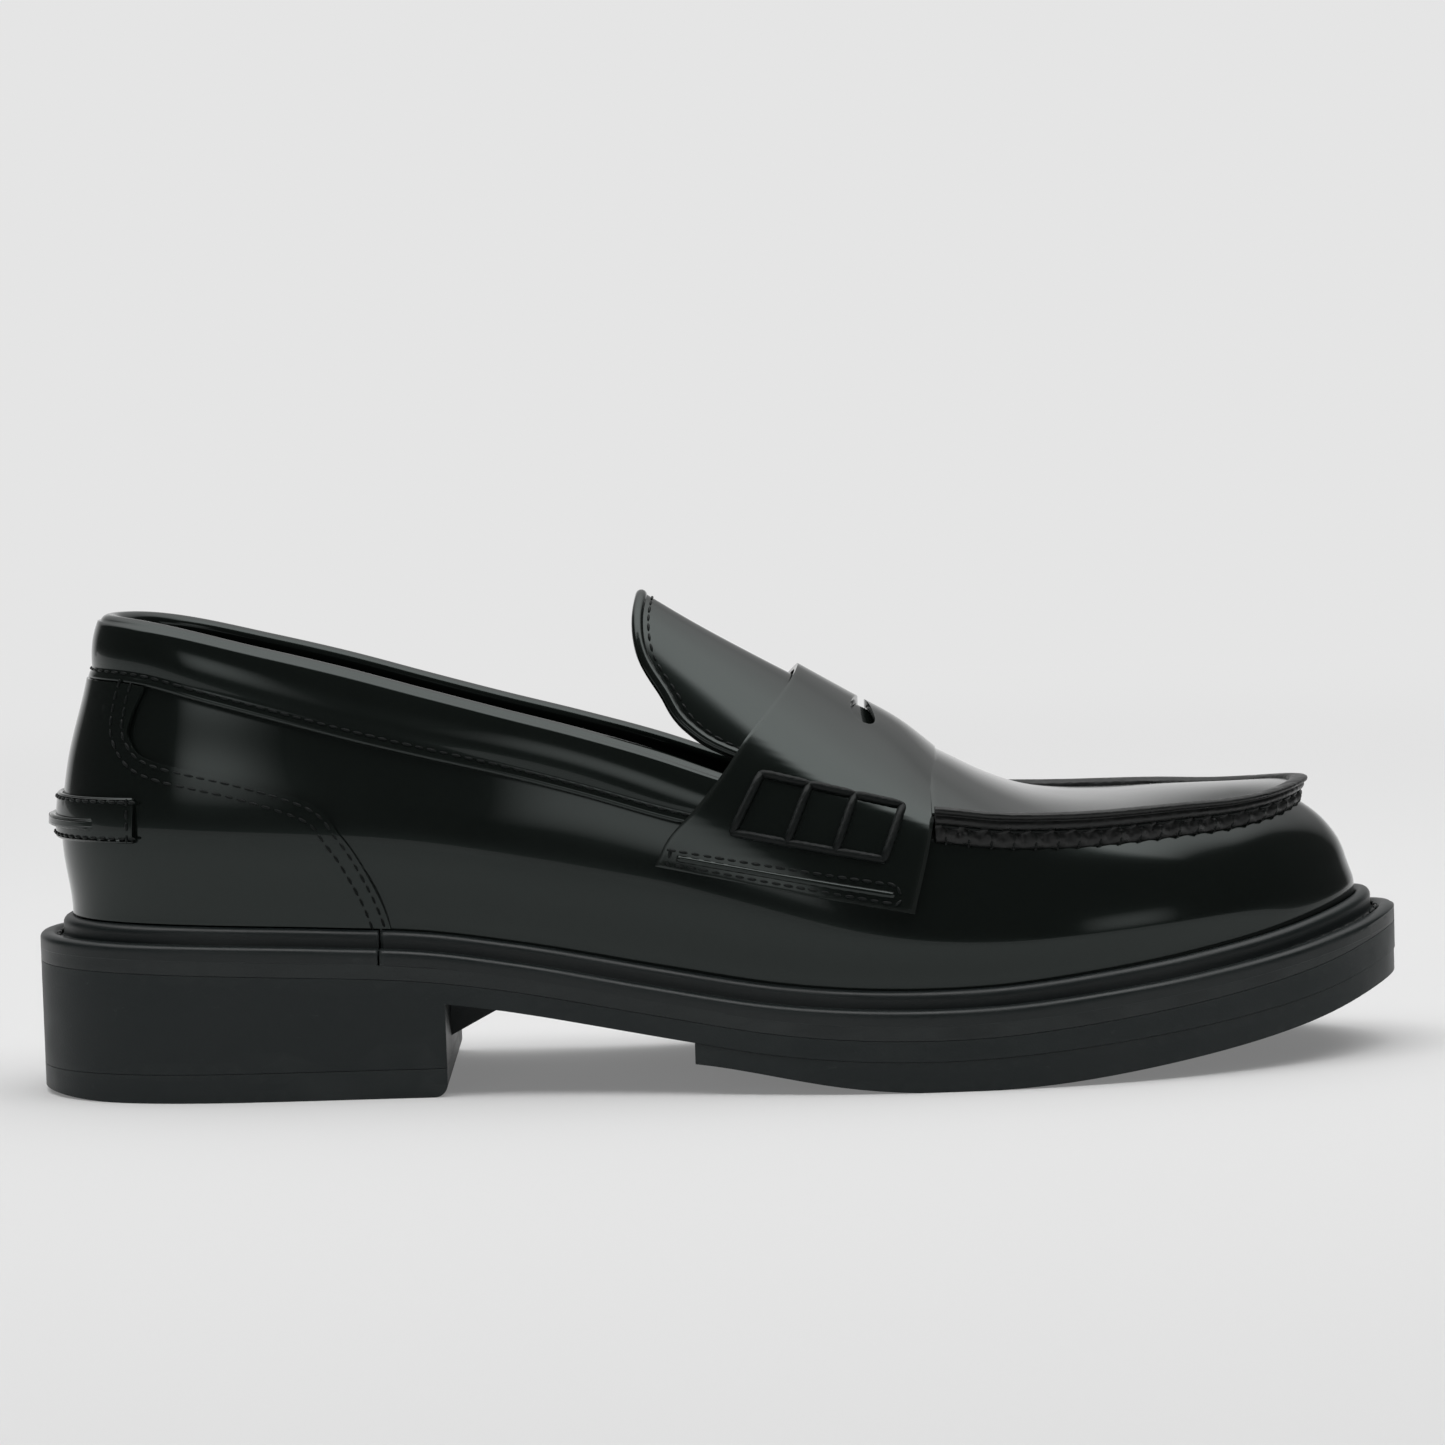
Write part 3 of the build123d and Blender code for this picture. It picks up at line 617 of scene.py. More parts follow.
def buildStitchRow():
    # small thread loops at a pitch along every path
    tree = bpy.data.node_groups.new("stitchRow", "GeometryNodeTree")
    face = tree.interface
    face.new_socket("Paths", in_out="INPUT", socket_type="NodeSocketGeometry")
    sizes = (("Pitch", 2.6 * mm), ("Length", 2.0 * mm), ("Radius", 0.3 * mm), ("Jitter", 0.1))
    for label, value in sizes:
        socket = face.new_socket(label, in_out="INPUT", socket_type="NodeSocketFloat")
        socket.default_value = value
    face.new_socket("Thread", in_out="INPUT", socket_type="NodeSocketMaterial")
    face.new_socket("Stitches", in_out="OUTPUT", socket_type="NodeSocketGeometry")

    given, result = newNode(tree, "NodeGroupInput"), newNode(tree, "NodeGroupOutput")
    resample = newNode(tree, "GeometryNodeResampleCurve", mode="LENGTH")
    points = newNode(tree, "GeometryNodeCurveToPoints", mode="EVALUATED")
    ball = {"Segments": 8, "Rings": 6, "Radius": 1.0}
    loop = newNode(tree, "GeometryNodeMeshUVSphere", ball)
    half = newNode(tree, "ShaderNodeMath", {1: 0.5}, operation="MULTIPLY")
    size = newNode(tree, "ShaderNodeCombineXYZ")
    grow = newNode(tree, "GeometryNodeTransform")
    chance = newNode(tree, "FunctionNodeRandomValue", {"Seed": 7}, data_type="FLOAT")
    lowest = newNode(tree, "ShaderNodeMath", {0: 1.0}, operation="SUBTRACT")
    highest = newNode(tree, "ShaderNodeMath", {0: 1.0}, operation="ADD")
    instances = newNode(tree, "GeometryNodeInstanceOnPoints")
    real = newNode(tree, "GeometryNodeRealizeInstances")
    smoothing = newNode(tree, "GeometryNodeSetShadeSmooth")
    paint = newNode(tree, "GeometryNodeSetMaterial")
    for source, outlet, target, inlet in (
        (given, "Paths", resample, "Curve"), (given, "Pitch", resample, "Length"),
        (resample, "Curve", points, "Curve"), (points, "Points", instances, "Points"),
        (points, "Rotation", instances, "Rotation"), (given, "Length", half, 0),
        (given, "Radius", size, "X"), (given, "Radius", size, "Y"), (half, 0, size, "Z"),
        (loop, "Mesh", grow, "Geometry"), (size, "Vector", grow, "Scale"),
        (grow, "Geometry", instances, "Instance"), (given, "Jitter", lowest, 1),
        (given, "Jitter", highest, 1), (lowest, 0, chance, "Min"), (highest, 0, chance, "Max"),
        (chance, "Value", instances, "Scale"), (instances, "Instances", real, "Geometry"),
        (real, "Geometry", smoothing, "Geometry"), (smoothing, "Geometry", paint, "Geometry"),
        (given, "Thread", paint, "Material"), (paint, "Geometry", result, "Stitches"),
    ):
        connect(tree, (source.outputs[outlet], target.inputs[inlet]))
    return tree


stitchRow = buildStitchRow()


# pitch, stitch length and thread radius in mm
stitchSizes = {
    "welt": (4.3, 3.7, 0.52), "collar": (2.6, 2.0, 0.3), "grip": (2.6, 1.9, 0.26),
    "counter": (2.6, 1.95, 0.3), "heelStrap": (2.4, 1.8, 0.36), "apronSeam": (4.6, 3.6, 0.42),
    "apronWhip": (1.0, 1.25, 0.33), "tongue": (2.5, 1.9, 0.28), "strapFoot": (2.5, 1.9, 0.34),
}


def stitches(name, paths, size, body, *nodes):
    curve = bpy.data.curves.new(name + "Path", "CURVE")
    curve.dimensions = "3D"
    for path in paths:
        spline = curve.splines.new("POLY")
        spline.points.add(len(path) - 1)
        flat = np.concatenate([np.asarray(path) * mm, np.ones((len(path), 1))], 1)
        spline.points.foreach_set("co", flat.ravel())
    piece = newObject(name, curve)
    modifier = piece.modifiers.new("Stitches", "NODES")
    modifier.node_group = stitchRow
    values = {k: v * mm for k, v in zip(("Pitch", "Length", "Radius"), stitchSizes[size])}
    for socket in stitchRow.interface.items_tree:
        if socket.name in values:
            modifier[socket.identifier] = values[socket.name]
        if socket.name == "Thread":
            modifier[socket.identifier] = waxedThread
    place(baked(piece), body, "thread", waxedThread, *nodes)


strandDepth = 0.14


def tube(name, path, radius, sides=10, twist=0.0, strands=0):
    # round tube along a path in mm; strands make a twisted cord
    path = np.asarray(path, float)
    tangent = np.gradient(path, axis=0)
    tangent /= np.linalg.norm(tangent, axis=1, keepdims=True)
    up = np.array([0, 0, 1.0]) - tangent * tangent[:, 2:3]
    up /= np.maximum(np.linalg.norm(up, axis=1, keepdims=True), 1e-6)
    across = np.cross(tangent, up)
    angles = np.linspace(0, 2 * math.pi, sides, endpoint=False)
    run = np.arange(len(path))[:, None] * twist
    ring = np.full((len(path), sides), float(radius))
    if strands:
        ridges = np.abs(np.cos(0.5 * strands * (angles[None] + run)))
        ring = radius * (1 - strandDepth + strandDepth * ridges)
    grid = path[:, None] + across[:, None] * (np.cos(angles) * ring)[..., None]
    grid = grid + up[:, None] * (np.sin(angles) * ring)[..., None]
    return gridPiece(name, grid, closeAcross=True)


# sole unit

print("sole unit")
for nodeName, material in (
    ("outsole", soleRubber), ("top_lift", soleRubber), ("forefoot_tread", soleRubber),
    ("midsole", weltRubber), ("shank", springSteel), ("heel_nails", springSteel),
    ("cork_filler", corkGranules), ("insole_board", leatherBoard), ("foam_cushion", foamCells),
    ("heel_stiffener", leatherBoard), ("toe_puff", foamCells), ("sock_liner", liningLeather),
    ("apron_lining", liningLeather),
):
    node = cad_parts[nodeName]
    for materialSlot in node.material_slots:
        materialSlot.material = material
    if not node.material_slots:
        node.data.materials.append(material)

welt = {
    "low": 3.02, "grooveDepth": 1.3, "reach": 2.0, "edgeRadius": 1.3, "randEnd": -70.0,
    "jointGap": 0.0006, "threadDrop": 0.75,
}


def weltProfile():
    # from under the upper, out along the bottom, up the edge, channel, bead and back
    m, w, g = last["weltMargin"], last["beadWidth"], last["grooveWidth"]
    top, crown, turn = last["flangeTop"], last["beadTop"], welt["edgeRadius"]
    floor = top - welt["grooveDepth"]
    profile = [(-welt["reach"], welt["low"]), (m - 1.5, welt["low"]), (m, welt["low"])]
    profile += [(m, welt["low"] + 0.1), (m, welt["low"] + 0.8), (m, top - 1.6)]
    for a in np.linspace(0.2, math.pi / 2, 6):
        profile.append((m - turn + turn * math.cos(a), top - turn + turn * math.sin(a)))
    profile += [(w + g + 0.5, top), (w + g + 0.1, top - 0.3), (w + g - 0.25, floor + 0.15)]
    profile += [(w + g * 0.5, floor), (w + 0.2, floor + 0.3), (w, floor + 1.0)]
    for a in np.linspace(-0.1, math.pi * 0.9, 10):
        beadOut = w / 2 + 0.05 + (w / 2 - 0.05) * math.cos(a)
        profile.append((beadOut, crown - 1.7 + 1.65 * math.sin(a)))
    profile += [(0.1, crown - 1.9), (0.1, top), (-welt["reach"], top)]
    return np.array(profile)


randOuter, randInner = uAt(welt["randEnd"], -1), uAt(welt["randEnd"], 1)
weltUs = np.linspace(randOuter, randInner, 520)
randUs = np.linspace(randInner - 1 + welt["jointGap"], randOuter - welt["jointGap"], 300)
for name, us, node in (("stormWelt", weltUs, "storm_welt"), ("heelRand", randUs, "heel_rand")):
    place(seatSweep(name, us, weltProfile()), "shoe", "welt_rubber", weltRubber, node)
ringUs = np.arange(1400) / 1400
here, normal = feather(ringUs)
channelOut = last["beadWidth"] + last["grooveWidth"] * 0.55
channelZ = smooth(seatLine, here[:, 0]) + last["flangeTop"] - welt["threadDrop"]
channel = np.concatenate([here + normal * channelOut, channelZ[:, None]], 1)
closedChannel = np.vstack([channel, channel[:1]])
stitches("weltStitches", [closedChannel], "welt", "shoe", "welt_thread")

# walls of the upper

print("upper walls")
wallUs = np.linspace(0.003, 0.997, 900)
seamZ = onWall(wallUs, moccasinSeam)
footZ = aboveSeat(wallUs, last["flangeTop"] + 0.2)
vamp = wallSweep("vampWall", wallUs, footZ, seamZ, bandRows(-1.2, 0.0, 0.3, 34))
placeLeather(vamp, "vamp")

collar = {"puff": 0.9, "rollHeight": 1.9, "rollOut": 2.05, "seamRise": 1.55, "seamOut": 0.78}


def collarProfile():
    # folded lower edge, padded face, rolled topline and the facing inside
    profile = [(0, 0.15, -0.6), (0, -0.35, 0.2), (0, -0.5, 0.75), (0, -0.1, 1.05), (0, 0.7, 0.95)]
    profile += [(0, 1.5, 0.62), (0, 2.2, 0.72)]
    for t in np.linspace(0.2, 0.86, 12):
        profile.append((t, 0, 0.55 + collar["puff"] * math.sin(math.pi * (t - 0.1) / 0.95)))
    for a in np.linspace(0.1, math.pi - 0.1, 11):
        drop = collar["rollHeight"] * (math.sin(a) - 1)
        profile.append((1, drop, -1.55 + collar["rollOut"] * math.cos(a)))
    for drop in (3.0, 4.5, 6.5, 8.5):
        profile.append((1, -drop, -3.65 - 0.25 * math.sin(drop)))
    profile += [(1, -9.0, -3.4), (1, -8.0, -2.8), (0.5, 0, -2.3), (0, 2.0, -2.2)]
    return np.array(profile)


collarUs = np.linspace(*roundHeel(last["collarFront"]), 560)
collarPiece = wallSweep(
    "paddedCollar", collarUs, onWall(collarUs, moccasinSeam), onWall(collarUs, topLine),
    collarProfile(),
)
placeLeather(collarPiece, "collar_band", "collar_padding", "topline_binding")
collarSeamZ = onWall(collarUs, moccasinSeam) + collar["seamRise"]
collarSeamRow = wallPoints(collarUs, collarSeamZ, collar["seamOut"])
stitches("collarStitches", [collarSeamRow], "collar", "shoe")

inside = {
    "liningFront": 24.0, "toeRear": 25.5, "gripFront": -98.0, "foot": 6.5, "gripFoot": 12.1,
    "liningDrop": 2.2, "toeDrop": 1.2, "gripDrop": 7.5, "gripSeamDrop": 9.2, "gripSeamOut": -4.62,
}
liningUs = np.linspace(*roundHeel(inside["liningFront"]), 500)
toeUs = np.linspace(*roundToe(inside["toeRear"]), 300)
gripUs = np.linspace(*roundHeel(inside["gripFront"]), 200)
for name, us, foot, topZ, profile, slotName, material, node in (
    ("quarterLining", liningUs, inside["foot"], onWall(liningUs, topLine) - inside["liningDrop"],
     bandRows(-3.5, -2.6, 0.3, 20), "lining_leather", liningLeather, "quarter_lining"),
    ("vampLining", toeUs, inside["foot"], onWall(toeUs, moccasinSeam) - inside["toeDrop"],
     bandRows(-3.5, -2.6, 0.3, 14), "lining_leather", liningLeather, "vamp_lining"),
    ("heelGrip", gripUs, inside["gripFoot"], onWall(gripUs, topLine) - inside["gripDrop"],
     bandRows(-4.5, -3.7, 0.35, 20), "suede", suede, "heel_grip"),
):
    layer = wallSweep(name, us, aboveSeat(us, foot), topZ, profile)
    place(layer, "shoe", slotName, material, node)
gripSeamZ = onWall(gripUs, topLine) - inside["gripSeamDrop"]
gripEdge = wallPoints(gripUs, gripSeamZ, inside["gripSeamOut"])
stitches("gripStitches", [gripEdge], "grip", "shoe")

# heel counter

print("heel counter")
counterEdge = [
    (24.0, -67.0), (34.0, -68.0), (47.0, -73.0), (53.9, -77.4), (61.5, -85.4), (65.6, -98.0),
    (70.5, -117.0), (74.5, -121.0), (80.0, -121.0), (88.0, -118.5),
]


counter = {
    "low": 34, "high": 88, "footBlend": 12, "topBlend": 14, "out": 1.35, "thickness": 1.05,
    "rowInsets": (1.1, 3.6), "rowOut": 1.42,
}


def counterGrid():
    # rows climb the shaped edge, columns run from the inner edge round the heel
    low, high = counter["low"], counter["high"]
    z = np.linspace(low, high, 900)
    edge = np.stack([smooth(counterEdge, z), z], 1)
    run = runLength(edge)
    zs = np.interp(np.linspace(0, run[-1], 120), run, z)
    across = np.linspace(-1, 1, 161)
    across = np.sign(across) * (1 - (1 - np.abs(across)) ** 1.5)
    grid = []
    for zRow in zs:
        inner, outer = roundHeel(float(smooth(counterEdge, zRow)))
        us = np.where(across < 0, -across * inner, across * outer)
        footZ, topZ = aboveSeat(us, last["beadTop"] + 0.2), onWall(us, moccasinSeam) - 0.6
        nearFoot = np.clip((low - zRow) / counter["footBlend"] + 1, 0, 1)
        nearTop = np.clip((zRow - high) / counter["topBlend"] + 1, 0, 1)
        height = zRow + (footZ - low) * nearFoot - (high - topZ) * nearTop
        grid.append(wallPoints(us, height, counter["out"]))
    return np.array(grid)


counterPiece = leatherSheet("heelCounter", counterGrid(), counter["thickness"], edge=0.4)
placeLeather(counterPiece, "heel_counter")


def counterRow(inset):
    # a stitch path this far inside the counter's free edge, on both sides
    z = np.linspace(36, 84.5, 400)
    x = smooth(counterEdge, z)
    dx = np.gradient(x, z)
    size = np.hypot(1, dx)
    rowX, rowZ = x - inset / size, z + inset * dx / size
    keep = rowZ > 34.5
    paths = []
    for side in (-1, 1):
        pts = [wallAt(a, b, counter["rowOut"], side) for a, b in zip(rowX[keep], rowZ[keep])]
        paths.append(np.array(pts))
    return paths


rows = [path for inset in counter["rowInsets"] for path in counterRow(inset)]
stitches("counterStitches", rows, "counter", "shoe")

# heel strap with its folded ridge

kicker = {
    "low": 53.4, "high": 62.6, "front": -119.0, "ridge": 57.0, "ridgeFront": -126.5,
    "ridgeHeight": 2.4, "rowOut": 2.75,
}
kickerUs = np.linspace(*roundHeel(kicker["front"]), 220)
kickerPiece = wallSweep(
    "heelStrap", kickerUs, np.full(220, kicker["low"]), np.full(220, kicker["high"]),
    bandRows(1.5, 2.7, 0.5, 20),
)
placeLeather(kickerPiece, "kicker_strap")
ridgeUs = np.linspace(*roundHeel(kicker["ridgeFront"]), 120)
fade = np.sin(np.linspace(0, math.pi, 120)) ** 0.35
ridgeProfile = bandRows(2.4, 4.2, 0.85, 8)
ridgeZ = kicker["ridge"] + (ridgeProfile[None, :, 0] - 0.5) * kicker["ridgeHeight"]
ridgeGrid = wallPoints(
    ridgeUs[:, None], ridgeZ + ridgeProfile[None, :, 1],
    2.2 + (ridgeProfile[None, :, 2] - 2.2) * fade[:, None],
)
ridge = gridPiece("heelStrapRidge", ridgeGrid, closeAcross=True)
placeLeather(ridge, "kicker_ridge")
rowHeights = (kicker["high"] - 1.0, kicker["low"] + 1.0)
kickerRows = [wallPoints(kickerUs, np.full(220, z), kicker["rowOut"]) for z in rowHeights]
for side in (kickerUs[0] + 0.002, kickerUs[-1] - 0.002):
    endZ = np.linspace(rowHeights[1], rowHeights[0], 30)
    kickerRows.append(wallPoints(side, endZ, kicker["rowOut"]))
stitches("heelStrapStitches", kickerRows, "heelStrap", "shoe")

# raised apron seam

print("apron and its seam")
lip = {"rear": 44.5, "whip": ((0.5, -0.14), (1.25, 0.05), (1.3, 0.22), (0.95, 0.42))}
pitch = stitchSizes["apronSeam"][0]
lipUs = np.linspace(*roundToe(lip["rear"]), 900)
lipFoot = wallPoints(lipUs, onWall(lipUs, moccasinSeam), 0.0)
lipRise = smooth(lipHeight, lipFoot[:, 0])
lipRun = runLength(lipFoot)
scallop = 0.5 + 0.5 * np.cos(2 * math.pi * lipRun / pitch)
lipNormal = feather(lipUs)[1]
# (plan offset, share of the seam's rise, how far the stitches pull it in)
lipRows = [
    (-1.3, -0.10, 0), (0.2, -0.16, 0), (1.0, -0.06, 0.2), (1.45, 0.08, 0.5), (1.55, 0.20, 0.8),
    (1.35, 0.32, 0.7), (0.95, 0.40, 0.3), (0.85, 0.44, 0), (1.3, 0.47, 0), (1.75, 0.52, 0),
    (1.95, 0.60, 0), (1.95, 0.68, 0), (1.7, 0.74, 0), (1.65, 0.77, 0), (2.2, 0.80, 0),
    (2.65, 0.84, 0), (2.75, 0.90, 0), (2.65, 0.96, 0), (2.3, 1.0, 0), (1.2, 1.02, 0),
    (0.2, 1.0, 0), (-0.6, 0.97, 0), (-1.0, 0.90, 0), (-1.2, 0.80, 0), (-1.3, 0.4, 0),
]
lipGrid = []
for offset, share, pull in lipRows:
    out = offset - pull * scallop
    plan = lipFoot[:, :2] + lipNormal * out[:, None]
    lipGrid.append(np.concatenate([plan, (lipFoot[:, 2] + share * lipRise)[:, None]], 1))
lipGrid = np.array(lipGrid).transpose(1, 0, 2)
place(
    gridPiece("apronSeam", lipGrid, closeAcross=True), "shoe", "edge_leather", edgeLeather,
    "apron_lip",
)


def lipPoint(out, share):
    plan = lipFoot[:, :2] + lipNormal * out
    return np.concatenate([plan, (lipFoot[:, 2] + share * lipRise)[:, None]], 1)


seamRow = lipPoint(1.05, 0.42)[12:-12]
stitches("apronSeamThread", [seamRow], "apronSeam", "shoe")
whips = []
whipRuns = np.arange(0.5, lipRun[-1] / pitch) * pitch
for k in np.interp(whipRuns, lipRun, np.arange(900)).astype(int):
    step = (lipFoot[min(k + 2, 899)] - lipFoot[k]) * 0.25
    climb = [lipPoint(out, share)[k] for out, share in lip["whip"]]
    whips.append(np.array(climb) + np.linspace(0, 1, 4)[:, None] * step)
stitches("apronWhipStitches", whips, "apronWhip", "shoe")

# apron


apron = {
    "rear": 44.0, "rimDrop": 1.5, "crownPower": 2.2, "thickness": 1.2,
    "tailFrom": 25.0, "tailTo": 45.0, "tailDrop": 1.9, "tailThickness": 1.0,
}


def buildApron():
    # rows run across, closer together towards the toe
    inner = lipPoint(-1.1, 0.8)
    tip = int(inner[:, 0].argmax())
    outerSide, innerSide = inner[: tip + 1], inner[tip:][::-1]
    x0, x1 = apron["rear"], inner[tip, 0] - 0.05
    rows = []
    for t in np.linspace(0, 1, 150):
        x = x0 + (x1 - x0) * math.sin(t * math.pi / 2)
        low = np.interp(x, outerSide[:, 0], outerSide[:, 1])
        high = np.interp(x, innerSide[:, 0], innerSide[:, 1])
        seamX = min(x, 108.0)
        ends = [wallAt(seamX, float(smooth(moccasinSeam, seamX)), -1.2, s)[1] for s in (-1, 1)]
        y = np.linspace(low, high, 90)
        middle, half = (ends[0] + ends[1]) / 2, (ends[1] - ends[0]) / 2
        rim = smooth(moccasinSeam, x) + smooth(lipHeight, x) - apron["rimDrop"]
        share = np.clip(np.abs((y - middle) / half), 0, 1.6)
        z = rim + (smooth(apronCrest, x) - rim) * (1 - share ** apron["crownPower"])
        rows.append(np.stack([np.full(90, x), y, z], 1))
    return np.array(rows)


# the apron's tail, hidden under the strap but seen through the penny slot
tailArch = Arch(17, 50, 54.0, -1.5, strapCrest, lift=-apron["tailDrop"])
tailShare = np.linspace(0.03, 1.97, 121)
tailXs = np.linspace(apron["tailFrom"], apron["tailTo"], 30)
tailGrid = np.array([tailArch.at(np.full(121, x), tailShare) for x in tailXs])
tailPiece = leatherSheet("apronTail", tailGrid, apron["tailThickness"], edge=0.2, flip=True)
placeLeather(tailPiece)
apronPiece = leatherSheet("apronLeather", buildApron(), apron["thickness"], edge=0.2, flip=True)
placeLeather(apronPiece, "apron")

# tongue

print("tongue")
tongue = {
    "thickness": 1.2, "root": 19.5, "backThickness": 0.8, "backDrop": 1.45, "edgeInset": 0.9,
    "bindingRadius": 1.25, "stitchInset": 2.2,
}
tongueEdge = [
    (64.5, 21.0), (67.2, 9.0), (70.6, 0.0), (75.0, -6.3), (82.1, -11.0), (89.0, -15.0),
    (97.1, -16.1), (104.0, -14.6),
]
tongueArch = Arch(-22, 26, 55.0, -3.9, tongueCrest)


def tongueGrid(arch, inset):
    # rows run from the free edge to the root under the strap
    share = np.linspace(0.05, 1.95, 150)
    xEdge = arch.onEdge(tongueEdge, share) + inset
    keep = xEdge < tongue["root"] - 0.4
    share, xEdge = share[keep], xEdge[keep]
    grid = []
    for t in np.linspace(0, 1, 60) ** 1.3:
        grid.append(arch.at(xEdge + (tongue["root"] - xEdge) * t, share))
    return np.array(grid), xEdge, share


tongueFace, tongueX, tongueShare = tongueGrid(tongueArch, tongue["edgeInset"])
tonguePiece = leatherSheet("tongueLeather", tongueFace, tongue["thickness"], edge=0.3, flip=True)
place(tonguePiece, "tongue", "upper_leather", polishedLeather, "tongue")
underArch = Arch(-22, 26, 55.0, -5.25, tongueCrest, lift=-tongue["backDrop"])
underFace = tongueGrid(underArch, 1.2)[0]
tongueBack = leatherSheet("tongueLining", underFace, tongue["backThickness"], edge=0.2, flip=True)
place(tongueBack, "tongue", "lining_leather", liningLeather, "tongue_lining")
edgeLine = tongueArch.at(tongueX - 0.1, tongueShare)
edgeLine[:, 2] -= tongue["edgeInset"]
fine = np.linspace(0, len(edgeLine) - 1, 500)
edgeLine = np.stack([np.interp(fine, np.arange(len(edgeLine)), c) for c in edgeLine.T], 1)
binding = tube("tongueBinding", edgeLine, tongue["bindingRadius"], sides=14)
place(binding, "tongue", "edge_leather", polishedLeather, "tongue_binding")
stitchLine = tongueArch.at(tongueX + tongue["stitchInset"], tongueShare)
stitchLine = stitchLine[stitchLine[:, 0] < tongue["root"] - 3]
stitchLine[:, 2] += 0.12
stitches("tongueStitches", [stitchLine], "tongue", "tongue")

# saddle strap

print("saddle strap")
strap = {
    "thickness": 1.5, "slotX": 31.0, "slotWidth": 4.6, "slotLength": 38.0, "slotNeck": 1.3,
    "footRear": (-13.0, 46.4), "footFront": (39.5, 35.9),
}
strapRear = [
    (46.4, -13.0), (52.0, -10.1), (58.0, -4.4), (64.2, 0.9), (72.8, 7.4), (77.6, 11.8),
    (82.4, 16.2), (88.0, 20.0),
]
strapFront = [(35.9, 39.5), (48.7, 43.0), (58.0, 45.0), (66.0, 46.2), (72.0, 46.4)]
strapArch = Arch(-20, 51, 33.0, 1.8, strapCrest)


def bottomShare(x, side):
    # share of the arch at which the strap's side ends on its straight foot line
    (x0, z0), (x1, z1) = strap["footRear"], strap["footFront"]
    shares, pts = strapArch.half(x, side)
    return float(np.interp(z0 + (x - x0) / (x1 - x0) * (z1 - z0), pts[:, 2], shares))


def strapGrid():
    # columns run over the arch, rows from the rear edge to the front edge
    table = np.linspace(-14, 41, 56)
    ends = [np.array([bottomShare(x, side) for x in table]) for side in (-1, 1)]
    along = np.linspace(0, 1, 221)

    def shareAt(x):
        low, high = [np.interp(x, table, end) for end in ends]
        return low + (high - low) * along

    edges = []
    for edge in (strapRear, strapFront):
        x = np.full(len(along), float(np.mean([p[1] for p in edge])))
        for _ in range(60):
            x = 0.5 * x + 0.5 * smooth(edge, strapArch.at(x, shareAt(x))[:, 2])
        edges.append(x)
    grid = []
    for t in np.linspace(0, 1, 60):
        x = edges[0] * (1 - t) + edges[1] * t
        grid.append(strapArch.at(x, shareAt(x)))
    return np.array(grid)


def slotCutter():
    # two lips that nearly meet in the middle and open into a drop on each side
    half = strap["slotLength"] / 2
    y = np.linspace(-half, half, 121)
    share = np.abs(y) / half
    drop = share**1.3 * np.sqrt(np.clip(1 - share**5, 0, 1))
    width = strap["slotNeck"] * (1 - share**10) + strap["slotWidth"] * 1.35 * drop
    outline = [(strap["slotX"] - w / 2, v + 1) for w, v in zip(width, y)]
    outline += [(strap["slotX"] + w / 2, v + 1) for w, v in zip(width[::-1], y[::-1])]
    grid = np.array([[(x, v, z) for x, v in outline] for z in (60.0, 95.0)])
    return gridPiece("slotCutter", grid, closeAcross=True)


strapPiece = leatherSheet(
    "saddleStrap", strapGrid(), strap["thickness"], edge=0.4, flip=True, cutter=slotCutter()
)
placeLeather(strapPiece, "saddle_strap")

# hand stitching: a ladder of three cells on each side of the strap
ladder = {
    "cord": 0.92, "top": ((9.3, 64.6), (38.0, 57.2)), "bottom": ((3.0, 53.0), (33.6, 46.8)),
    "topShares": (0, 0.34, 0.66, 1), "bottomShares": (0, 0.36, 0.68, 1), "rungRise": 0.6,
    "railRise": 0.3, "twist": 0.55,
}


def onStrap(x, z, side, lift):
    here = strapArch.find(x, z, side)
    along = strapArch.find(x + 0.6, z, side) - here
    climb = strapArch.find(x, z + 0.6, side) - here
    normal = np.cross(along, climb) if side < 0 else np.cross(climb, along)
    return here + normal / np.linalg.norm(normal) * lift


def cordOver(start, end, side, lift):
    # a cord that leaves a hole, bows over the leather and goes back in
    pts = []
    for t in np.linspace(0, 1, 22):
        x, z = start[0] + (end[0] - start[0]) * t, start[1] + (end[1] - start[1]) * t
        bow = lift * min(1.0, 6 * min(t, 1 - t)) - 0.35 * (1 - min(1.0, 10 * min(t, 1 - t)))
        pts.append(onStrap(x, z, side, bow))
    return tube("cord", np.array(pts), ladder["cord"], strands=3, twist=ladder["twist"])


def joined(name, pieces):
    # several meshes as one
    verts, faces = [], []
    for piece in pieces:
        start = len(verts)
        verts += [tuple(v.co) for v in piece.data.vertices]
        faces += [tuple(start + i for i in p.vertices) for p in piece.data.polygons]
        bpy.data.objects.remove(piece)
    mesh = bpy.data.meshes.new(name)
    mesh.from_pydata(verts, [], faces)
    shadeSmooth(mesh)
    mesh.update()
    return newObject(name, mesh)


cords = []
for side in (-1, 1):
    rails = []
    for rail in ("top", "bottom"):
        a, b = np.array(ladder[rail])
        rails.append([a * (1 - t) + b * t for t in ladder[rail + "Shares"]])
    cords += [cordOver(a, b, side, ladder["rungRise"]) for a, b in zip(*rails)]
    for row in rails:
        cords += [cordOver(a, b, side, ladder["railRise"]) for a, b in zip(row[:-1], row[1:])]
place(joined("ladderCord", cords), "shoe", "thread", waxedThread)

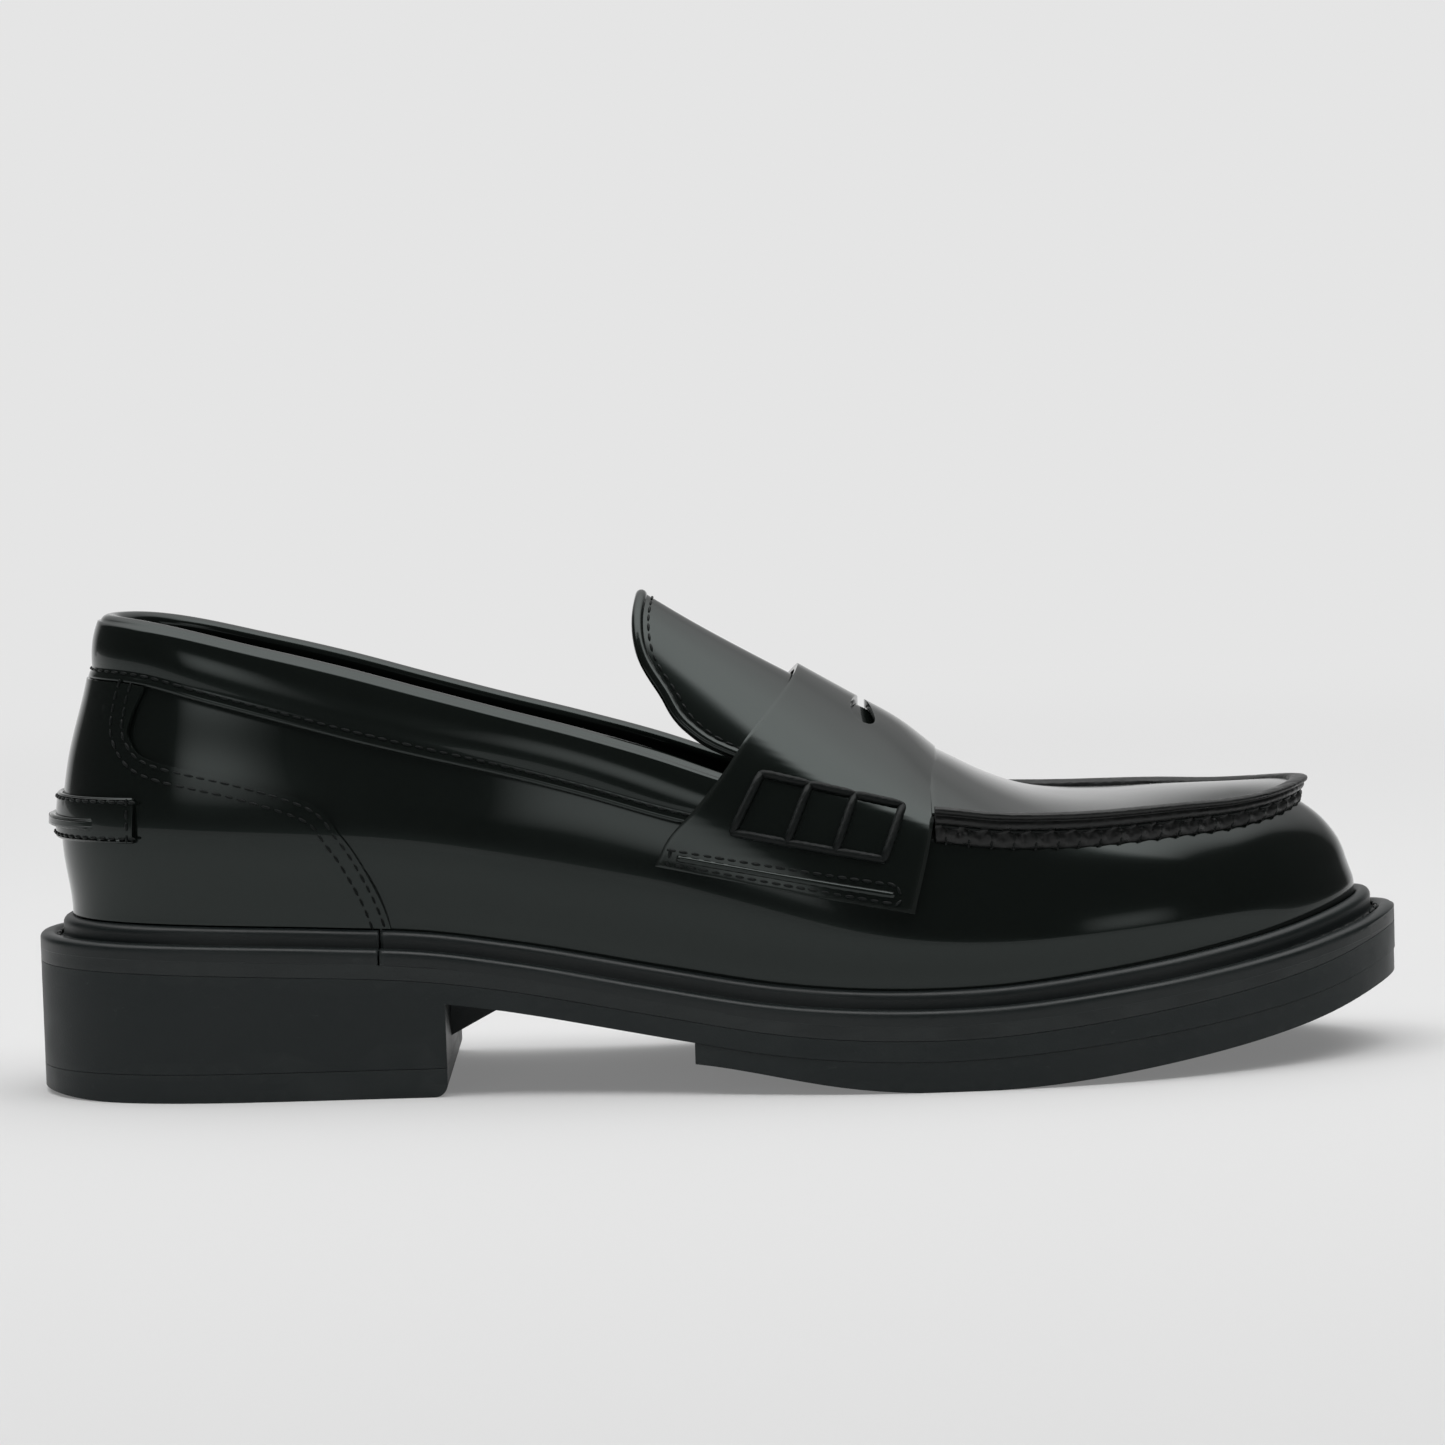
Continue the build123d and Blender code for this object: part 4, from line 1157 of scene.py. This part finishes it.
# sewn foot of the strap: two rows that meet at both ends, with a soft ridge between
strapFoot = {
    "corners": [(-9.6, 49.6), (36.6, 41.6), (36.2, 37.9), (-10.8, 47.0), (-9.6, 49.6)],
    "ridgeRadius": 0.8, "ridgeSink": -0.35, "rowRise": 0.08,
}
footRows = []
for side in (-1, 1):
    path = []
    for a, b in zip(strapFoot["corners"][:-1], strapFoot["corners"][1:]):
        count = max(4, int(math.hypot(b[0] - a[0], b[1] - a[1]) / 1.0))
        for t in np.linspace(0, 1, count, endpoint=False):
            x, z = a[0] + (b[0] - a[0]) * t, a[1] + (b[1] - a[1]) * t
            path.append(onStrap(x, z, side, strapFoot["rowRise"]))
    footRows.append(np.array(path))
stitches("strapFootStitches", footRows, "strapFoot", "shoe")
ridges = []
for side in (-1, 1):
    pts = []
    for t in np.linspace(0, 1, 60):
        pts.append(onStrap(-8.5 + 44.0 * t, 48.0 - 8.3 * t, side, strapFoot["ridgeSink"]))
    ridges.append(tube("ridge", np.array(pts), strapFoot["ridgeRadius"], sides=12))
placeLeather(joined("strapFootWelt", ridges))

# camera, light and stage

print("camera and light")
camera = {
    "from": (0.0, -1.2, 0.168), "aim": (0.00175, 0.0, 0.0725), "roll": 1.8,
    "focal": 5714.0, "frame": 1445, "sensor": 36,
}
start, aim = Vector(camera["from"]), Vector(camera["aim"])
forward = (aim - start).normalized()
right = forward.cross(Vector((0, 0, 1))).normalized()
up = right.cross(forward)
turn = math.radians(camera["roll"])
imageRight = right * math.cos(turn) - up * math.sin(turn)
imageUp = right * math.sin(turn) + up * math.cos(turn)
lens = bpy.data.cameras.new("camera")
lens.sensor_width = camera["sensor"]
lens.lens = camera["sensor"] * camera["focal"] / camera["frame"]
shot = newObject("camera", lens)
axes = Matrix((imageRight, imageUp, -forward)).transposed()
shot.matrix_world = Matrix.Translation(start) @ axes.to_4x4()
bpy.context.scene.camera = shot


def stageSheet(name, grid, glow, matte=0.0):
    # a floor, wall or light panel in metres, with a glow and a matte tone for each point
    rows, columns = grid.shape[:2]
    mesh = bpy.data.meshes.new(name)
    faces = [
        (r * columns + c, r * columns + c + 1, (r + 1) * columns + c + 1, (r + 1) * columns + c)
        for r in range(rows - 1) for c in range(columns - 1)
    ]
    mesh.from_pydata(grid.reshape(-1, 3).tolist(), [], faces)
    material = bpy.data.materials.new(name)
    material.use_nodes = True
    tree = material.node_tree
    shader = tree.nodes["Principled BSDF"]
    for socket, value in (
        ("Roughness", 1.0), ("Specular IOR Level", 0.0), ("Emission Color", (1, 1, 1, 1)),
    ):
        shader.inputs[socket].default_value = value
    for label, values, target in (
        ("glow", glow, "Emission Strength"), ("matte", matte, "Base Color"),
    ):
        layer = mesh.attributes.new(label, "FLOAT", "POINT")
        layer.data.foreach_set("value", np.broadcast_to(values, (rows, columns)).ravel())
        share = newNode(tree, "ShaderNodeAttribute", attribute_name=label)
        connect(tree, (share.outputs["Fac"], shader.inputs[target]))
    mesh.materials.append(material)
    piece = newObject(name, mesh)
    return piece


def softPanel(name):
    # an upright light panel that faces the shoe and fades towards its edges
    middle, size, strength = studio[name]
    a, b = np.meshgrid(np.linspace(-1, 1, 33), np.linspace(-1, 1, 33))
    away = np.array(middle[:2]) / math.hypot(*middle[:2])
    plan = np.array(middle[:2]) + a[..., None] * size[0] / 2 * np.array([-away[1], away[0]])
    grid = np.concatenate([plan, (middle[2] + b * size[1] / 2)[..., None]], -1)
    fade = np.clip(1.0 - np.abs(a) ** 2.5, 0, 1) * np.clip(1.0 - np.abs(b) ** 2.5, 0, 1)
    return stageSheet(name, grid, strength * fade)


studio = {
    "floorMatte": 0.55, "floorGlow": 0.18, "fadeFrom": 0.3, "fadeTo": 1.1,
    "floorHalf": 8, "surround": 0.784, "fill": 0.06, "tentRadius": 1.5, "tentHalfLength": 1.7,
    "frontLeftPanel": ((-0.78, -2.05, 0.72), (1.1, 0.8), 1.5),
    "frontRightPanel": ((1.5, -1.5, 0.45), (0.9, 0.7), 1.0),
    "tent": [(0, 0.85), (10, 0.7), (24, 0.42), (45, 0.75), (70, 1.9), (90, 3.0), (112, 3.6),
             (117, 0.0)],
}
# the floor is matte round the shoe and fades into a glow of the surround's own tone
line = np.linspace(-1, 1, 161)
line = studio["floorHalf"] * line * np.abs(line)
xs, ys = np.meshgrid(line, line)
flat = np.stack([xs, ys, np.zeros_like(xs)], -1)
fade = (np.hypot(xs, ys) - studio["fadeFrom"]) / (studio["fadeTo"] - studio["fadeFrom"])
fade = np.clip(fade, 0, 1)
fade = fade**2 * (3 - 2 * fade)
floorGlow = studio["floorGlow"] + (studio["surround"] - studio["floorGlow"]) * fade
stageSheet("floor", flat, floorGlow, studio["floorMatte"] * (1 - fade))
angles = np.linspace(0.5, 118, 60)
along = np.linspace(-1, 1, 25)
tentGrid = np.array([
    [(a * studio["tentHalfLength"], studio["tentRadius"] * math.cos(math.radians(t)),
      studio["tentRadius"] * math.sin(math.radians(t))) for a in along] for t in angles
])
tentGlow = np.interp(angles, *zip(*studio["tent"]))[:, None] * (1 - np.abs(along) ** 4)[None, :]
tent = stageSheet("tent", tentGrid, tentGlow)
# the lights show in the polish, and stay out of the picture themselves
for panel in (tent, softPanel("frontLeftPanel"), softPanel("frontRightPanel")):
    panel.visible_camera = False
world = bpy.data.worlds.new("studio")
world.use_nodes = True
air = world.node_tree
sky = air.nodes["Background"]
sky.inputs["Color"].default_value = (1, 1, 1, 1)
rays = newNode(air, "ShaderNodeLightPath")
tones = {"To Min": studio["fill"], "To Max": studio["surround"]}
level = newNode(air, "ShaderNodeMapRange", tones)
connect(
    air, (rays.outputs["Is Camera Ray"], level.inputs["Value"]),
    (level.outputs["Result"], sky.inputs["Strength"]),
)
bpy.context.scene.world = world
bpy.context.scene.view_settings.view_transform = "Standard"
